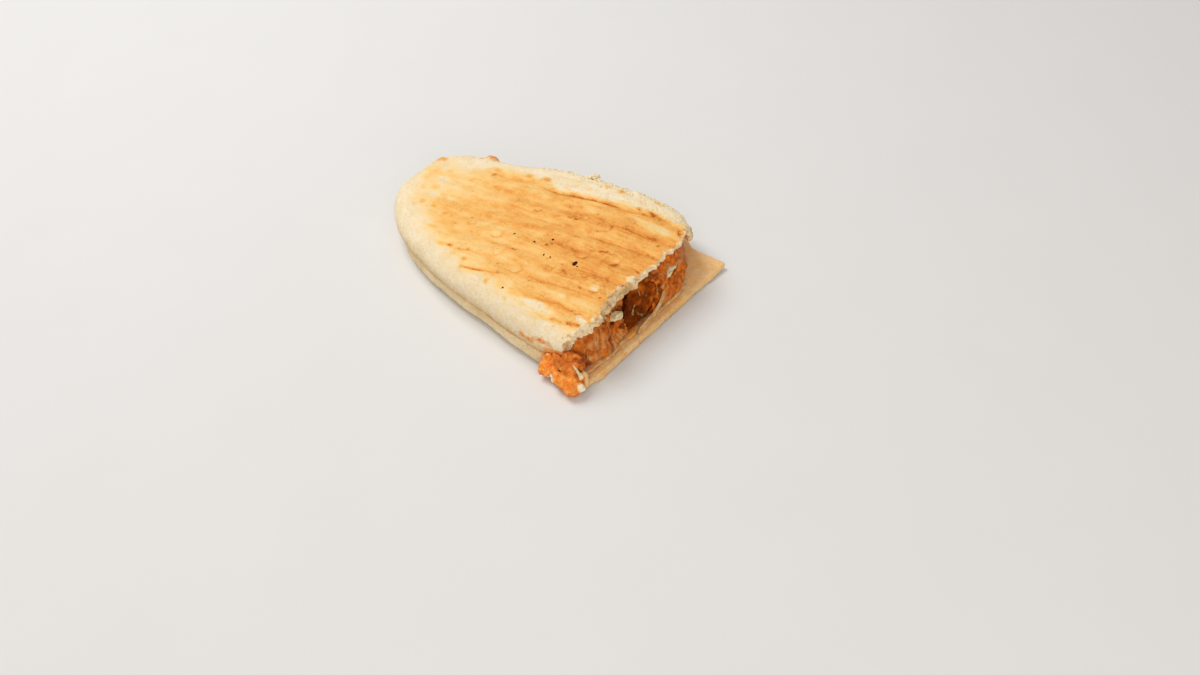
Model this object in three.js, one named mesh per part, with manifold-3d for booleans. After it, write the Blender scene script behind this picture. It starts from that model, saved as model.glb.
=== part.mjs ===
// Half of a pressed and grilled sandwich: a long flat roll, split, filled, toasted between ribbed plates
// and cut across. Millimetres, +Z up. The bread is first laid out with its round end at x = END and the
// cut at x = CUT, near side -Y, far side +Y, underside on z = 0. The finished group is then moved
// so that the origin is the middle of its footprint.
import * as THREE from "three";
import { mergeVertices } from "three/addons/utils/BufferGeometryUtils.js";
import Module from "manifold-3d";

const wasm = await Module();
wasm.setup();

// ---- driving dimensions ----
const END = -1.8; // x of the round end
const CUT = 127; // x of the cut through the lower slice
const HALF_LENGTH_OF_ROLL = 130.4; // semi-axis of the roll's outline
const HALF_WIDTH = 41.6; // widest half-width of the roll
const OUTLINE_POWER = 2.4; // superellipse power of the outline
const END_CLIP = 0.5; // the outline starts this far in, so that the end isn't a needle
const NOSE = 5; // length over which the round end's top rounds down to the seam

const TOP_HEIGHT = 21.5; // top of the upper slice, at its highest
const END_HEIGHT = 16.3; // top of the upper slice near the round end
const SEAM = 5.4; // height at which the two slices meet outside
const LOWER_SLICE = 3.6; // thickness of the lower slice in the middle
const LOWER_EDGE = 2.4; // thickness of the lower slice at the cut
const UPPER_SLICE = 4.4; // thickness of the upper slice in the middle
const SHOULDER = 10; // horizontal radius of the upper slice's rounded side
const TUCK = THREE.MathUtils.degToRad(112); // how far round the side curls before the seam
const RIM = 4; // width of the upper slice's rim that lies on the lower slice
const RIM_SLOPE = 7; // width over which the space inside the rim rises to its full height
const OPEN_RIM = 1.6; // the same two widths at the cut
const OPEN_SLOPE = 4;
const NEAR_RISE = 1.4; // how much higher the seam lies along the middle of the near side
const NEAR_GAPE = 3.2; // how far the seam opens at the cut's near corner
const FAR_GAPE = 5.2; // and at its far corner
const GAP = 0.3; // clearance between touching pieces

const RIB_PITCH = 9; // spacing of the ribs' grooves
const RIB_DEPTH = 0.9; // depth of a groove
const RIB_HALF_WIDTH = 1.5; // half-width of a groove
const RIB_SLOPE = 0.12; // the ribs run slightly across the roll: rise in y for each unit of x
const RIB_AT_CUT = 1; // y of the groove nearest the middle, at the cut
const RIBS_EACH_WAY = 5;
const RIB_FAN = 0.19; // share by which the ribs beyond RIB_FAN_FROM spread apart towards the cut
const RIB_FAN_FROM = 7;

const UPPER_SETBACK = 6; // the upper slice ends this far behind the lower one
const FILLING_FACE = 121; // x of the top of the filling's face at the cut
const FACE_LEAN = 4.2; // how far the foot of the face stands out beyond its top
const SLICED_AT = 126.4; // x of the plane that sliced pieces end on, at z = 0
const SLICED_LEAN = 0.31; // and how far it leans back for each unit of z
const CHEESE = 1.4; // thickness of the melted cheese under the filling
const FILLING_RIM = 0.4; // how far up the rim's slope the filling reaches

const STATIONS = 26; // cross-sections along the roll
const CELLS = 12; // lines across the inside

// ---- small helpers ----
const clamp = (v, low, high) => Math.min(high, Math.max(low, v));
const mix = (a, b, t) => a + (b - a) * t;
const smooth = (low, high, v) => {
  const t = clamp((v - low) / (high - low), 0, 1);
  return t * t * (3 - 2 * t);
};
// A smooth uneven field between about -1 and 1, with bumps about `size` across.
const uneven = (a, b, size, seed = 0) => {
  const [p, q] = [a / size, b / size];
  return (
    0.45 * Math.sin(2.1 * p + 1.3 * q + seed) +
    0.35 * Math.sin(-1.7 * p + 2.6 * q + 2.3 * seed + 1) +
    0.3 * Math.sin(3.9 * p + 0.8 * q - 1.1 * seed + 2)
  );
};
const bump = (v, middle, half) => 1 - smooth(0, half, Math.abs(v - middle));
const range = (count) => Array.from({ length: count }, (_, k) => k);
const point = (x, y, z) => new THREE.Vector3(x, y, z);

// ---- the roll's shape ----
const halfWidth = (x) => {
  const along = 1 - clamp(x - END, 0, HALF_LENGTH_OF_ROLL) / HALF_LENGTH_OF_ROLL;
  return HALF_WIDTH * (1 - along ** OUTLINE_POWER) ** (1 / OUTLINE_POWER);
};
// The far side is uneven and rounds off before the cut.
const wobble = (x, side) => uneven(x, side * 40, 14, 3) * (side < 0 ? 0.4 : 0.9) * smooth(4, 30, x);
const farBulge = (x) => 6.4 * bump(x, -1, 34) + 1 * smooth(30, 70, x) - 6.9 * smooth(101, 121, x) ** 1.5;
const edge = (x, side) => side * (halfWidth(x) + wobble(x, side)) + (side > 0 ? farBulge(x) : 0);

// The round end's top curves down to the seam.
const nose = (x) => Math.sqrt(1 - (1 - clamp((x - END) / NOSE, 0, 1)) ** 2);
// Height of the pressed face, before its grooves: low at the round end, and drooping at the cut's corners.
const pressed = (x, y) => {
  const rise = mix(END_HEIGHT, TOP_HEIGHT, smooth(0, 86, x));
  const crown = 1.8 * Math.abs(y / HALF_WIDTH) ** 3;
  const droop = smooth(90, 121, x) * (3.2 * smooth(18, 38, y) + 4.2 * (1 - smooth(-42, -26, y)));
  return mix(SEAM, rise - crown - droop + 0.25 * uneven(x, y, 16, 1), nose(x));
};
// How firmly the ribs bit: 1 in the middle, fading to the sides and the round end.
const bite = (x, y) => {
  const share = Math.abs(y) / Math.max(halfWidth(x) - SHOULDER * 0.4, 1);
  return smooth(12, 55, x) * (1 - smooth(0.72, 0.98, share));
};
const ribLine = (k, x) => {
  const y = RIB_AT_CUT + k * RIB_PITCH + RIB_SLOPE * (x - CUT);
  return y + RIB_FAN * smooth(68, 92, x) * Math.max(0, y - RIB_FAN_FROM);
};

// How far the cut has let the sides open.
const opening = (x) => smooth(90, 119, x);
const gape = (x, side) => (side < 0 ? NEAR_GAPE * smooth(103, 119, x) : FAR_GAPE * opening(x));
const nearRise = (x, side) => (side < 0 ? NEAR_RISE * smooth(16, 36, x) * (1 - smooth(76, 98, x)) : 0);
const seamHeight = (x, side) => SEAM + nearRise(x, side) + 0.4 * uneven(x, side * 9, 11, 5) + gape(x, side);
const lowerTop = (x, y) => mix(LOWER_SLICE, LOWER_EDGE, smooth(108, CUT, x)) + 0.2 * uneven(x, y, 18, 7);

// The inside is laid out on lines that all the layers share: `foot` is where the space inside the rim
// starts, and `full` is where it has its full height.
const foot = (x, side) => {
  const width = Math.min(mix(RIM, OPEN_RIM, opening(x)), halfWidth(x) * 0.3);
  return edge(x, side) - side * (width + (side > 0 ? 1.5 * opening(x) : 0));
};
const full = (x, side) => {
  const width = Math.min(mix(RIM_SLOPE, OPEN_SLOPE, opening(x)), halfWidth(x) * 0.3);
  return foot(x, side) - side * width;
};
const onSlope = (x, side, t) => mix(foot(x, side), full(x, side), t);
const inside = (x, count) => range(count + 1).map((k) => mix(full(x, -1), full(x, 1), k / count));

// Underside of the upper slice: a ceiling over the filling, coming down to the seam at the rim.
const ceiling = (x, y) => {
  const side = Math.sign(y) || 1;
  const seam = seamHeight(x, side) + GAP / 2;
  const thin = opening(x) * 2.3 * smooth(-12, 6, y) + 0.7 * smooth(102, 119, x) * (1 - smooth(-42, -20, y));
  const roof = Math.max(pressed(x, y) - UPPER_SLICE + thin, seam + 0.6);
  const t = clamp((y - foot(x, side)) / (full(x, side) - foot(x, side)), 0, 1);
  return mix(seam, Math.min(roof, pressed(x, y) - 1.5), t * smooth(9, 28, x));
};

// The torn end of the upper slice: how far each part of it stands behind or beyond its straight line.
const TORN_FROM = 100; // the upper slice is stretched towards its torn end from here
const torn = (y) =>
  1.2 * bump(y, -27, 6) - 1.4 * bump(y, -12, 14) - 3.4 * (1 - smooth(-38, -29, y)) - 6 * smooth(18, 36, y);
const slip = (x, y) => torn(y) * smooth(TORN_FROM, CUT - UPPER_SETBACK, x);

// ---- meshes ----
// A closed solid from cross-sections. Each has an `over` and an `under` row of points, both from the near
// side to the far side, and the two end sections are closed by a strip between their rows.
function loft(sections, name, material) {
  const rings = sections.map(({ over, under }) => [...over, ...[...under].reverse()]);
  const count = rings[0].length;
  const positions = rings.flat().flatMap((p) => [p.x, p.y, p.z]);
  const faces = [];
  for (let i = 0; i + 1 < rings.length; i++) {
    for (let j = 0; j < count; j++) {
      const [a, b] = [i * count + j, i * count + ((j + 1) % count)];
      faces.push([a, b, b + count], [a, b + count, a + count]);
    }
  }
  const cap = (section, first, flip) => {
    const [n, m] = [section.over.length, section.under.length];
    const overAt = (j) => first + j;
    const underAt = (j) => first + n + m - 1 - j;
    for (let [a, b] = [0, 0]; a < n - 1 || b < m - 1; ) {
      const stepOver = b === m - 1 || (a < n - 1 && (a + 1) / (n - 1) <= (b + 1) / (m - 1));
      const third = stepOver ? overAt(a + 1) : underAt(b + 1);
      const face = [overAt(a), underAt(b), third];
      faces.push(flip ? face.reverse() : face);
      if (stepOver) a++;
      else b++;
    }
  };
  cap(sections[0], 0, false);
  cap(sections[sections.length - 1], (rings.length - 1) * count, true);
  const geometry = new THREE.BufferGeometry();
  geometry.setAttribute("position", new THREE.Float32BufferAttribute(positions, 3));
  geometry.setIndex(faces.flat());
  return solid(tidy(geometry), name, material);
}

// Merged vertices, no collapsed faces, and faces that point out.
function tidy(geometry) {
  for (const extra of ["normal", "uv"]) geometry.deleteAttribute(extra);
  const merged = mergeVertices(geometry, 1e-3);
  const at = merged.getAttribute("position");
  const corners = [0, 1, 2].map(() => new THREE.Vector3());
  const kept = [];
  let volume = 0;
  for (let f = 0; f < merged.index.count; f += 3) {
    const ids = [0, 1, 2].map((k) => merged.index.getX(f + k));
    if (new Set(ids).size < 3) continue;
    kept.push(ids);
    ids.forEach((id, k) => corners[k].fromBufferAttribute(at, id));
    volume += corners[0].dot(corners[1].cross(corners[2]));
  }
  merged.setIndex((volume < 0 ? kept.map((ids) => ids.reverse()) : kept).flat());
  return merged;
}

function toManifold(geometry) {
  return new wasm.Manifold(
    new wasm.Mesh({
      numProp: 3,
      vertProperties: new Float32Array(geometry.getAttribute("position").array),
      triVerts: new Uint32Array(geometry.index.array),
    }),
  );
}

function fromManifold(made) {
  const mesh = made.getMesh();
  const geometry = new THREE.BufferGeometry();
  geometry.setAttribute("position", new THREE.Float32BufferAttribute([...mesh.vertProperties], 3));
  geometry.setIndex([...mesh.triVerts]);
  return geometry;
}

function solid(geometry, name, material) {
  const mesh = new THREE.Mesh(geometry, material);
  mesh.name = name;
  return mesh;
}

// Takes a slightly grown copy of each tool out of a piece, and keeps its largest part.
function carve(mesh, grownTools) {
  let made = toManifold(mesh.geometry);
  for (const tool of grownTools) made = made.subtract(toManifold(tool));
  const parts = made.decompose().sort((a, b) => b.volume() - a.volume());
  mesh.geometry = fromManifold(parts[0]);
  return mesh;
}

// An uneven rounded lump: centre, radii, how rough it is, its turn about z and its tilt about x, and its size
// grown by `extra` for carving. A lump that the knife went through is flat where it meets the cut.
function lump({ at, radii, rough = 0.12, seed = 0, detail = 3, turn = 0, tilt = 0, sliced = false }, extra = 0) {
  const geometry = tidy(new THREE.IcosahedronGeometry(1, detail));
  const p = geometry.getAttribute("position");
  const v = new THREE.Vector3();
  const [upright, along] = [point(0, 0, 1), point(1, 0, 0)];
  for (let i = 0; i < p.count; i++) {
    v.fromBufferAttribute(p, i);
    const swell = 1 + rough * uneven(v.x * 3 + v.z, v.y * 3 - v.z * 2, 1.4, seed);
    v.multiplyScalar(swell).multiply(point(radii[0] + extra, radii[1] + extra, radii[2] + extra));
    v.applyAxisAngle(upright, turn).applyAxisAngle(along, tilt).add(point(...at));
    if (sliced) v.x = Math.min(v.x, SLICED_AT - SLICED_LEAN * v.z + extra);
    p.setXYZ(i, v.x, v.y, v.z);
  }
  return geometry;
}

// ---- materials ----
const finish = (color, roughness) => new THREE.MeshStandardMaterial({ color, roughness, metalness: 0 });
const MATERIALS = {
  crust: finish("#f0bd78", 0.75),
  lowerCrust: finish("#dfb886", 0.8),
  filling: finish("#c4682a", 0.45),
  cheese: finish("#e3c79a", 0.4),
  pepper: finish("#5a2209", 0.3),
  sauce: finish("#e77f31", 0.4),
  onion: finish("#cfc4a4", 0.45),
};

// ---- the pieces ----
// Stations from the round end, close together where the outline turns.
const alongRoll = (last) =>
  range(STATIONS + 1).map((i) => mix(END + END_CLIP, last, 1 - Math.cos((i / STATIONS) * Math.PI * 0.5) ** 1.35));

const SECTIONS = alongRoll(CUT - UPPER_SETBACK);

const LAST = CUT - UPPER_SETBACK;
const RIBS = range(2 * RIBS_EACH_WAY + 1).map((k) => k - RIBS_EACH_WAY);

function upperSlice() {
  const sections = SECTIONS.map((x, i) => {
    const shoulder = Math.min(SHOULDER, halfWidth(x) * 0.6);
    const flat = [-1, 1].map((sign) => edge(x, sign) - sign * shoulder);
    const side = (sign) => {
      const y = flat[sign < 0 ? 0 : 1];
      const top = pressed(x, y);
      const drop = (top - seamHeight(x, sign) - GAP / 2) / (1 - Math.cos(TUCK));
      return range(6).map((k) => {
        const turn = (TUCK * (k + 1)) / 6;
        return point(x, y + sign * shoulder * Math.sin(turn), top - drop * (1 - Math.cos(turn)));
      });
    };
    const lines = [flat[0]];
    for (const k of RIBS) {
      for (const offset of [-RIB_HALF_WIDTH, 0, RIB_HALF_WIDTH]) {
        lines.push(clamp(ribLine(k, x) + offset, flat[0], flat[1]));
      }
    }
    lines.push(flat[1]);
    const deep = (y) => {
      const off = Math.min(...RIBS.map((k) => Math.abs(y - ribLine(k, x)))) / RIB_HALF_WIDTH;
      return RIB_DEPTH * bite(x, y) * Math.max(0, 1 - off);
    };
    const top = lines.map((y) => point(x, y, pressed(x, y) - deep(y)));
    const over = [...side(-1).reverse(), ...top, ...side(1)];
    const under = [foot(x, -1), ...inside(x, CELLS), foot(x, 1)].map((y) => point(x, y, ceiling(x, y)));
    const ragged = (p) => (i < STATIONS ? 0 : 0.7 * uneven(p.y, p.z * 0.5, 3.1, 4) + 0.4 * uneven(p.y, p.z, 1.3, 9));
    for (const p of [...over, ...under]) p.x += slip(x, p.y) + ragged(p);
    return { over, under };
  });
  return loft(sections, "upper_slice", MATERIALS.crust);
}

function lowerSlice() {
  const sections = [...SECTIONS, CUT].map((x, i) => {
    const flare = 1.9 * smooth(18, 24, x) + 0.7 * smooth(70, 96, x);
    const farFlare = 1.4 * smooth(94, 108, x) + 1.2 * smooth(112, CUT, x);
    const inset = Math.min(1.6, halfWidth(x) * 0.1);
    const rim = [edge(x, -1) + inset - flare, edge(x, 1) - inset * (1 - opening(x)) + farFlare];
    const round = Math.min(6, halfWidth(x) * 0.45);
    const lip = (sign) => {
      const full = SEAM + 0.3 + nearRise(x, sign);
      return Math.min(seamHeight(x, sign) - GAP / 2, mix(full, LOWER_EDGE + 0.6, opening(x)));
    };
    const base = (SEAM - 1.6) * (1 - nose(x));
    const curl = (sign, y) =>
      range(4).map((k) => {
        const turn = (Math.PI / 2) * (k / 4);
        const z = mix(base, Math.max(lip(sign) - 1.4, base), 1 - Math.cos(turn));
        return point(x, y - sign * round * (1 - Math.sin(turn)), z);
      });
    const outer = (sign, y) => point(x, y, lip(sign) - 0.9);
    const under = [outer(-1, rim[0]), ...curl(-1, rim[0]).reverse(), ...curl(1, rim[1]), outer(1, rim[1])];
    const over = [rim[0] + 0.4, foot(x, -1), ...inside(x, CELLS), foot(x, 1), rim[1] - 0.4].map((y, k, all) => {
      const atLip = k === 0 || k === all.length - 1;
      return point(x, y, atLip ? lip(Math.sign(y)) : lowerTop(x, y));
    });
    const ragged = (p) => 0.6 * uneven(p.y, p.z, 4, 2) + 1.2 * smooth(22, 36, p.y);
    for (const p of [...over, ...under]) p.x += i > STATIONS ? ragged(p) : slip(x, p.y);
    return { over, under };
  });
  return loft(sections, "lower_slice", MATERIALS.lowerCrust);
}

// A layer inside the sandwich between two heights, with a lumpy face at the cut.
function layer({ name, material, reach, low, high, face, columns, rows, skip }) {
  const across = (x) => [onSlope(x, -1, reach), ...inside(x, columns), onSlope(x, 1, reach)];
  const sections = SECTIONS.slice(skip, STATIONS).map((x) => {
    const row = (height) => across(x).map((y) => point(x + slip(x, y), y, height(x, y)));
    return { over: row(high), under: row(low) };
  });
  for (const r of range(rows)) {
    const share = 1 - r / rows;
    const row = (sign) =>
      across(LAST).map((y) => {
        const [bottom, top] = [low(LAST, y), high(LAST, y)];
        const z = mix((bottom + top) / 2, sign > 0 ? top : bottom, share);
        return point(face(y, z, (z - bottom) / (top - bottom)), y, z);
      });
    sections.push({ over: row(1), under: row(-1) });
  }
  return loft(sections, name, material);
}

const fillingFloor = (x, y) => lowerTop(x, y) + CHEESE + 2 * GAP;
const fillingRoof = (x, y) => Math.max(ceiling(x, y) - GAP, fillingFloor(x, y) + 0.8);
// Towards the far corner the filling stops further in, which leaves the lower slice bare.
const bare = (y, share) => (8 - 2.5 * share) * smooth(15, 33, y);
// The filling's face leans out towards its foot, with upright strands and lumps.
const fillingFace = (y, z, share) =>
  FILLING_FACE -
  bare(y, share) +
  torn(y) * 0.6 +
  FACE_LEAN * (1 - share) ** 1.2 +
  0.8 * uneven(y, z * 0.35, 1.5, 1) +
  0.8 * uneven(y, z, 4.2, 6) -
  1.2 * smooth(0.8, 1, share);

function filling() {
  return layer({
    name: "chicken_filling",
    material: MATERIALS.filling,
    reach: FILLING_RIM,
    low: fillingFloor,
    high: fillingRoof,
    face: fillingFace,
    columns: CELLS * 2,
    rows: 5,
    skip: 10,
  });
}

function meltedCheese() {
  return layer({
    name: "melted_cheese",
    material: MATERIALS.cheese,
    reach: FILLING_RIM / 2,
    low: (x, y) => lowerTop(x, y) + GAP,
    high: (x, y) => lowerTop(x, y) + GAP + CHEESE * (0.85 + 0.15 * uneven(x, y, 6, 2)),
    face: (y) => FILLING_FACE - bare(y, 0) + FACE_LEAN + 0.3 * torn(y) + 0.8 * uneven(y, 0, 3.4, 3),
    columns: CELLS,
    rows: 2,
    skip: 9,
  });
}

const PEPPER = {
  at: [119.6, -5, 10.4],
  radii: [5.2, 10.6, 6.3],
  rough: 0.11,
  seed: 2,
  detail: 5,
  turn: 0.1,
  tilt: 0.27,
  sliced: true,
};
const ONIONS = [
  { at: [120.6, -17.6, 13.4], radii: [2.6, 3.4, 1.6], rough: 0.2, seed: 5, detail: 2, turn: -0.3, tilt: 0.2 },
  { at: [119.8, 14, 12.4], radii: [2.6, 5.2, 1.5], rough: 0.2, seed: 8, detail: 2, turn: 0.25, tilt: 0.1 },
];

// Sauced filling squeezed out of the near corner: overlapping lumps that rest beside the lower slice.
const OOZE = [
  { at: [110.8, -43.6, 3.2], radii: [3, 2.7, 2.9], seed: 1 },
  { at: [115.4, -43.4, 3.6], radii: [3.4, 2.8, 3.6], seed: 4, detail: 2 },
  { at: [119.2, -44, 3.8], radii: [4, 3.8, 4], seed: 7 },
  { at: [123.2, -44.6, 3.2], radii: [4, 3.6, 3.6], seed: 3 },
  { at: [121, -42.4, 6.8], radii: [4, 2.8, 2.8], seed: 6 },
  { at: [115.8, -42.4, 6.6], radii: [3.8, 2, 2.4], seed: 9, detail: 2 },
  { at: [110.8, -41.8, 5.6], radii: [3.4, 1.6, 1.8], seed: 2, detail: 2 },
  { at: [120.4, -39.8, 7.6], radii: [4.6, 3.4, 3.8], seed: 5, detail: 2 },
];

function oozed() {
  const lumps = OOZE.map((piece) => {
    const geometry = lump({ rough: 0.16, ...piece });
    const p = geometry.getAttribute("position");
    for (let i = 0; i < p.count; i++) p.setZ(i, Math.max(p.getZ(i), 0));
    return toManifold(geometry);
  });
  return solid(fromManifold(lumps.reduce((a, b) => a.add(b))), "sauce_ooze", MATERIALS.sauce);
}

// A strand along a curve, `wide` across and `thick` towards the cut, both half-sizes that taper to its end.
function strand({ path, wide, thick, taper }, extra = 0) {
  const steps = 12;
  const curve = new THREE.CatmullRomCurve3(path.map((p) => point(...p)));
  const outward = point(1, 0, 0);
  const sections = range(steps + 1).map((i) => {
    const t = i / steps;
    const across = curve.getTangent(t).cross(outward).normalize();
    const size = mix(1, taper, t) * (1 + 0.12 * Math.sin(9 * t)) * (i % steps === 0 ? 0.55 : 1);
    const ring = (turn) =>
      curve
        .getPoint(t)
        .addScaledVector(across, -Math.cos(turn) * (wide * size + extra))
        .addScaledVector(outward, Math.sin(turn) * (thick * size + extra));
    const [over, under] = [range(5), range(3)].map((all) => all.map((k) => (Math.PI * k) / 4));
    return { over: over.map(ring), under: under.map((turn) => ring(-turn - Math.PI / 4)) };
  });
  return loft(sections, "", MATERIALS.cheese).geometry;
}

// A pull of cheese that stands at the near corner, and a ribbon folded round the browned piece.
const PULL = {
  path: [
    [125.4, -41.6, 5.4],
    [125.3, -42.2, 7.4],
    [124.4, -42.7, 9.6],
    [123.2, -43, 12],
  ],
  wide: 1.5,
  thick: 0.8,
  taper: 0.3,
};
const RIBBON = {
  path: [
    [126.2, -12, 4.4],
    [126, -6.5, 5],
    [125.5, -1, 6.1],
    [124.8, 3.6, 7.9],
    [124, 6.6, 10],
  ],
  wide: 1.7,
  thick: 0.5,
  taper: 0.7,
};

// Clearance round a piece of any shape: copies of it moved a gap's width along each of the directions.
const shifted = (mesh, directions) =>
  directions.map(([x, y, z]) => mesh.geometry.clone().translate(x * GAP, y * GAP, z * GAP));

const pepper = solid(lump(PEPPER), "roasted_pepper", MATERIALS.pepper);
const onions = ONIONS.map((o, i) => solid(lump(o), `onion_piece_${i + 1}`, MATERIALS.onion));
const pull = solid(strand(PULL), "cheese_pull", MATERIALS.cheese);
const ribbon = solid(strand(RIBBON), "cheese_ribbon", MATERIALS.cheese);
const room = [lump(PEPPER, GAP), ...ONIONS.map((o) => lump(o, GAP)), strand(RIBBON, GAP)];

const upper = upperSlice();
const lower = lowerSlice();
const cheese = carve(meltedCheese(), room);
const chicken = carve(filling(), room);
const ooze = carve(oozed(), [
  strand(PULL, GAP),
  ...shifted(upper, [[0, -1, 0], [0, 0, -1], [0, 0, 0]]),
  ...shifted(lower, [[0, -1, 0], [0, 0, 1], [1, 0, 0]]),
  ...shifted(chicken, [[0, -1, 0], [1, 0, 0], [0, 0, -1]]),
  ...shifted(cheese, [[0, -1, 0], [1, 0, 0], [0, 0, 1]]),
]);

const sandwich = new THREE.Group();
sandwich.add(lower, upper, chicken, cheese, pepper, ...onions, ribbon, ooze, pull);
const box = new THREE.Box3().setFromObject(sandwich);
const middle = box.getCenter(new THREE.Vector3());
sandwich.position.set(-middle.x, -middle.y, -box.min.z);

export default sandwich;
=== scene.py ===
# Looks of a grilled sandwich half: a long flat roll, toasted between ribbed plates and cut across, with
# sauced chicken, melted cheese and roasted pepper at the cut. Every piece stands for one of the frame's
# nodes, or lies on one. Shapes are worked out in mm in the roll's own layout: the round end is near x = 0,
# the upper slice's torn end near x = 121, the lower slice's cut at x = 127, the near side is -y and the
# underside lies on z = 0.
import itertools
import math
from contextlib import contextmanager

import bmesh
import bpy
import numpy as np
from mathutils import Matrix, Vector
from mathutils.bvhtree import BVHTree


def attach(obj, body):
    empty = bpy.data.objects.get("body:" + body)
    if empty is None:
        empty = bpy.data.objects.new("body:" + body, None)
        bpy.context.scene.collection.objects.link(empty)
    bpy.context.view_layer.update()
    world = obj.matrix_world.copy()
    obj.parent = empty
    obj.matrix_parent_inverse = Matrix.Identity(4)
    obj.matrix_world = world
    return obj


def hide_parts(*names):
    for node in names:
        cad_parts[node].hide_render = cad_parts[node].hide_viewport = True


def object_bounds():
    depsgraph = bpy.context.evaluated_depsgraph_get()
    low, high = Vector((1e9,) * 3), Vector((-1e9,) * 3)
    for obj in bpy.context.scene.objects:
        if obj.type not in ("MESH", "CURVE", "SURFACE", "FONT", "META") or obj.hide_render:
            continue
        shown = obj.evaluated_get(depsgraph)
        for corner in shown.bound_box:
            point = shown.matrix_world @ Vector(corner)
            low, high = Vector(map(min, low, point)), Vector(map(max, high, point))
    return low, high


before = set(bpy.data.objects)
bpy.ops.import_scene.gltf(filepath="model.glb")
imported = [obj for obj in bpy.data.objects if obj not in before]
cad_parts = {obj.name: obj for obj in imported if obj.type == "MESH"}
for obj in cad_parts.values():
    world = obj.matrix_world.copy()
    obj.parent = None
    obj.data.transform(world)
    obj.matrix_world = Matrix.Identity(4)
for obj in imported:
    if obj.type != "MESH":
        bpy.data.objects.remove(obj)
CAD_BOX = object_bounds()

MM = 0.001
LAYOUT = np.array((-63.5979, 3.0979, 0.0))  # where the layout's zero point lies in the frame, in mm

# ---- the roll's layout ----
ROUND_END = -1.8  # x of the round end
HALF_LENGTH = 130.4  # semi-axis of the roll's outline
HALF_WIDTH = 41.6
OUTLINE_POWER = 2.4
CUT = 127.0  # x of the cut through the lower slice
TORN_LINE = 121.0  # x of the upper slice's torn end, before its unevenness
SHOWN_FROM = 112.0  # beyond this x the filling shows at the cut, and carries its relief
RIB_PITCH = 9.0
RIB_SLOPE = 0.12
RIB_AT_CUT = 1.0
RIB_FAN = 0.19  # towards the cut, the ribs beyond RIB_FAN_FROM spread to the far side by this share
RIB_FAN_FROM = 7.0

# ---- sizes, in mm, and numbers of bits ----
BREAD_FACE, FILLING_FACE, CHEESE_FACE, RIBBON_FACE = 0.62, 0.9, 0.7, 0.18  # the meshes' faces
ABOVE, BESIDE, BEYOND_CUT = 60, -60, 140  # z, y and x, clear of the food, from where rays are cast
PEBBLE_ROUGHNESS = 0.4  # share of its radius
FAR_LIP, TIP_LIP = 1.3, 2.1  # how far the lower slice's rim turns up on the far side and at the round end
END_CRUMBS, EDGE_CRUMBS, TUFT_FLAKES = 600, 360, 60  # how many are tried
END_CRUMBS_FROM = 108  # x
TUFT = (67.8, 34.2)  # x, y of the flaky tuft on the far edge

# ---- camera and light, in metres ----
CAMERA_AT = (0.27782, -0.24508, 0.30778)
CAMERA_RIGHT, CAMERA_UP = (0.76178, 0.64217, -0.08546), (-0.39856, 0.56857, 0.71964)
LENS, SENSOR = 37.2, 36.0  # mm
LAMPS = (  # name, place, size, watts, hue
    ("key", (-0.50, 0.05, 0.85), 0.55, 6.3, (1.0, 0.98, 0.95)),
    ("fill", (0.62, -0.52, 0.50), 0.90, 3.9, (1.0, 0.93, 0.82)),
)
SKY, SKY_STRENGTH = (1.0, 0.96, 0.9, 1), 0.38
FLOOR_RADIUS, FLOOR_HEIGHT = 4.0, -0.0002


def smooth(low, high, v):
    t = np.clip((v - low) / (high - low), 0, 1)
    return t * t * (3 - 2 * t)


def mix(a, b, t):
    return a + (b - a) * t


def fade(low, high, v):
    """1 below low, 0 above high."""
    return 1 - smooth(low, high, v)


def bump(v, middle, half):
    return fade(0, half, np.abs(v - middle))


def ends(t, start, end):
    """Rises from 0 at t = 0 to 1 at start, and falls again from end to t = 1."""
    return smooth(0, start, t) * fade(end, 1, t)


def length(v):
    return np.linalg.norm(v, axis=-1)


def grain(p, size, seed):
    """Smooth noise from -1 to 1 at the points p, in mm, with lumps `size` mm across."""
    q = np.asarray(p, float) / size + 4096.0
    cell = np.floor(q).astype(np.int64)
    t = q - cell
    t = t * t * (3 - 2 * t)
    total = np.zeros(len(q))
    for corner in itertools.product((0, 1), repeat=3):
        a, b, c = (cell + corner).T
        mixed = (a * 73856093) ^ (b * 19349663) ^ (c * 83492791) ^ (seed * 265443576)
        mixed = ((mixed ^ (mixed >> 13)) * 1274126177) & 0xFFFFFFFF
        value = ((mixed ^ (mixed >> 15)) & 0xFFFF) / 32767.5 - 1
        total += value * np.prod(np.where(corner, t, 1 - t), axis=1)
    return total


def rough(p, size, seed, layers=3):
    """Noise with finer and finer lumps added."""
    return sum(grain(p, np.asarray(size, float) / 2**k, seed + 17 * k) * 0.5**k for k in range(layers))


def half_width(x):
    along = 1 - np.clip(x - ROUND_END, 0, HALF_LENGTH) / HALF_LENGTH
    return HALF_WIDTH * (1 - along**OUTLINE_POWER) ** (1 / OUTLINE_POWER)


def torn(y):
    """How far the torn end of the upper slice stands beyond or behind its straight line."""
    return (
        1.2 * bump(y, -27, 6)
        - 1.4 * bump(y, -12, 14)
        - 3.4 * fade(-38, -29, y)
        - 6 * smooth(18, 36, y)
    )


def rib_phase(x, y):
    """Place across the ribs: whole numbers lie on the ribs, and it rises with y."""
    fan = RIB_FAN * smooth(68, 92, x)
    level = np.where(y > RIB_FAN_FROM, (y + fan * RIB_FAN_FROM) / (1 + fan), y)
    return (level - RIB_AT_CUT - RIB_SLOPE * (x - CUT)) / RIB_PITCH


def along_ribs(p):
    """The points with y counted across the ribs, so that noise over them is drawn out along the ribs."""
    x, y, z = p.T
    return np.stack((x, rib_phase(x, y) * RIB_PITCH, z), axis=1)


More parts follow.
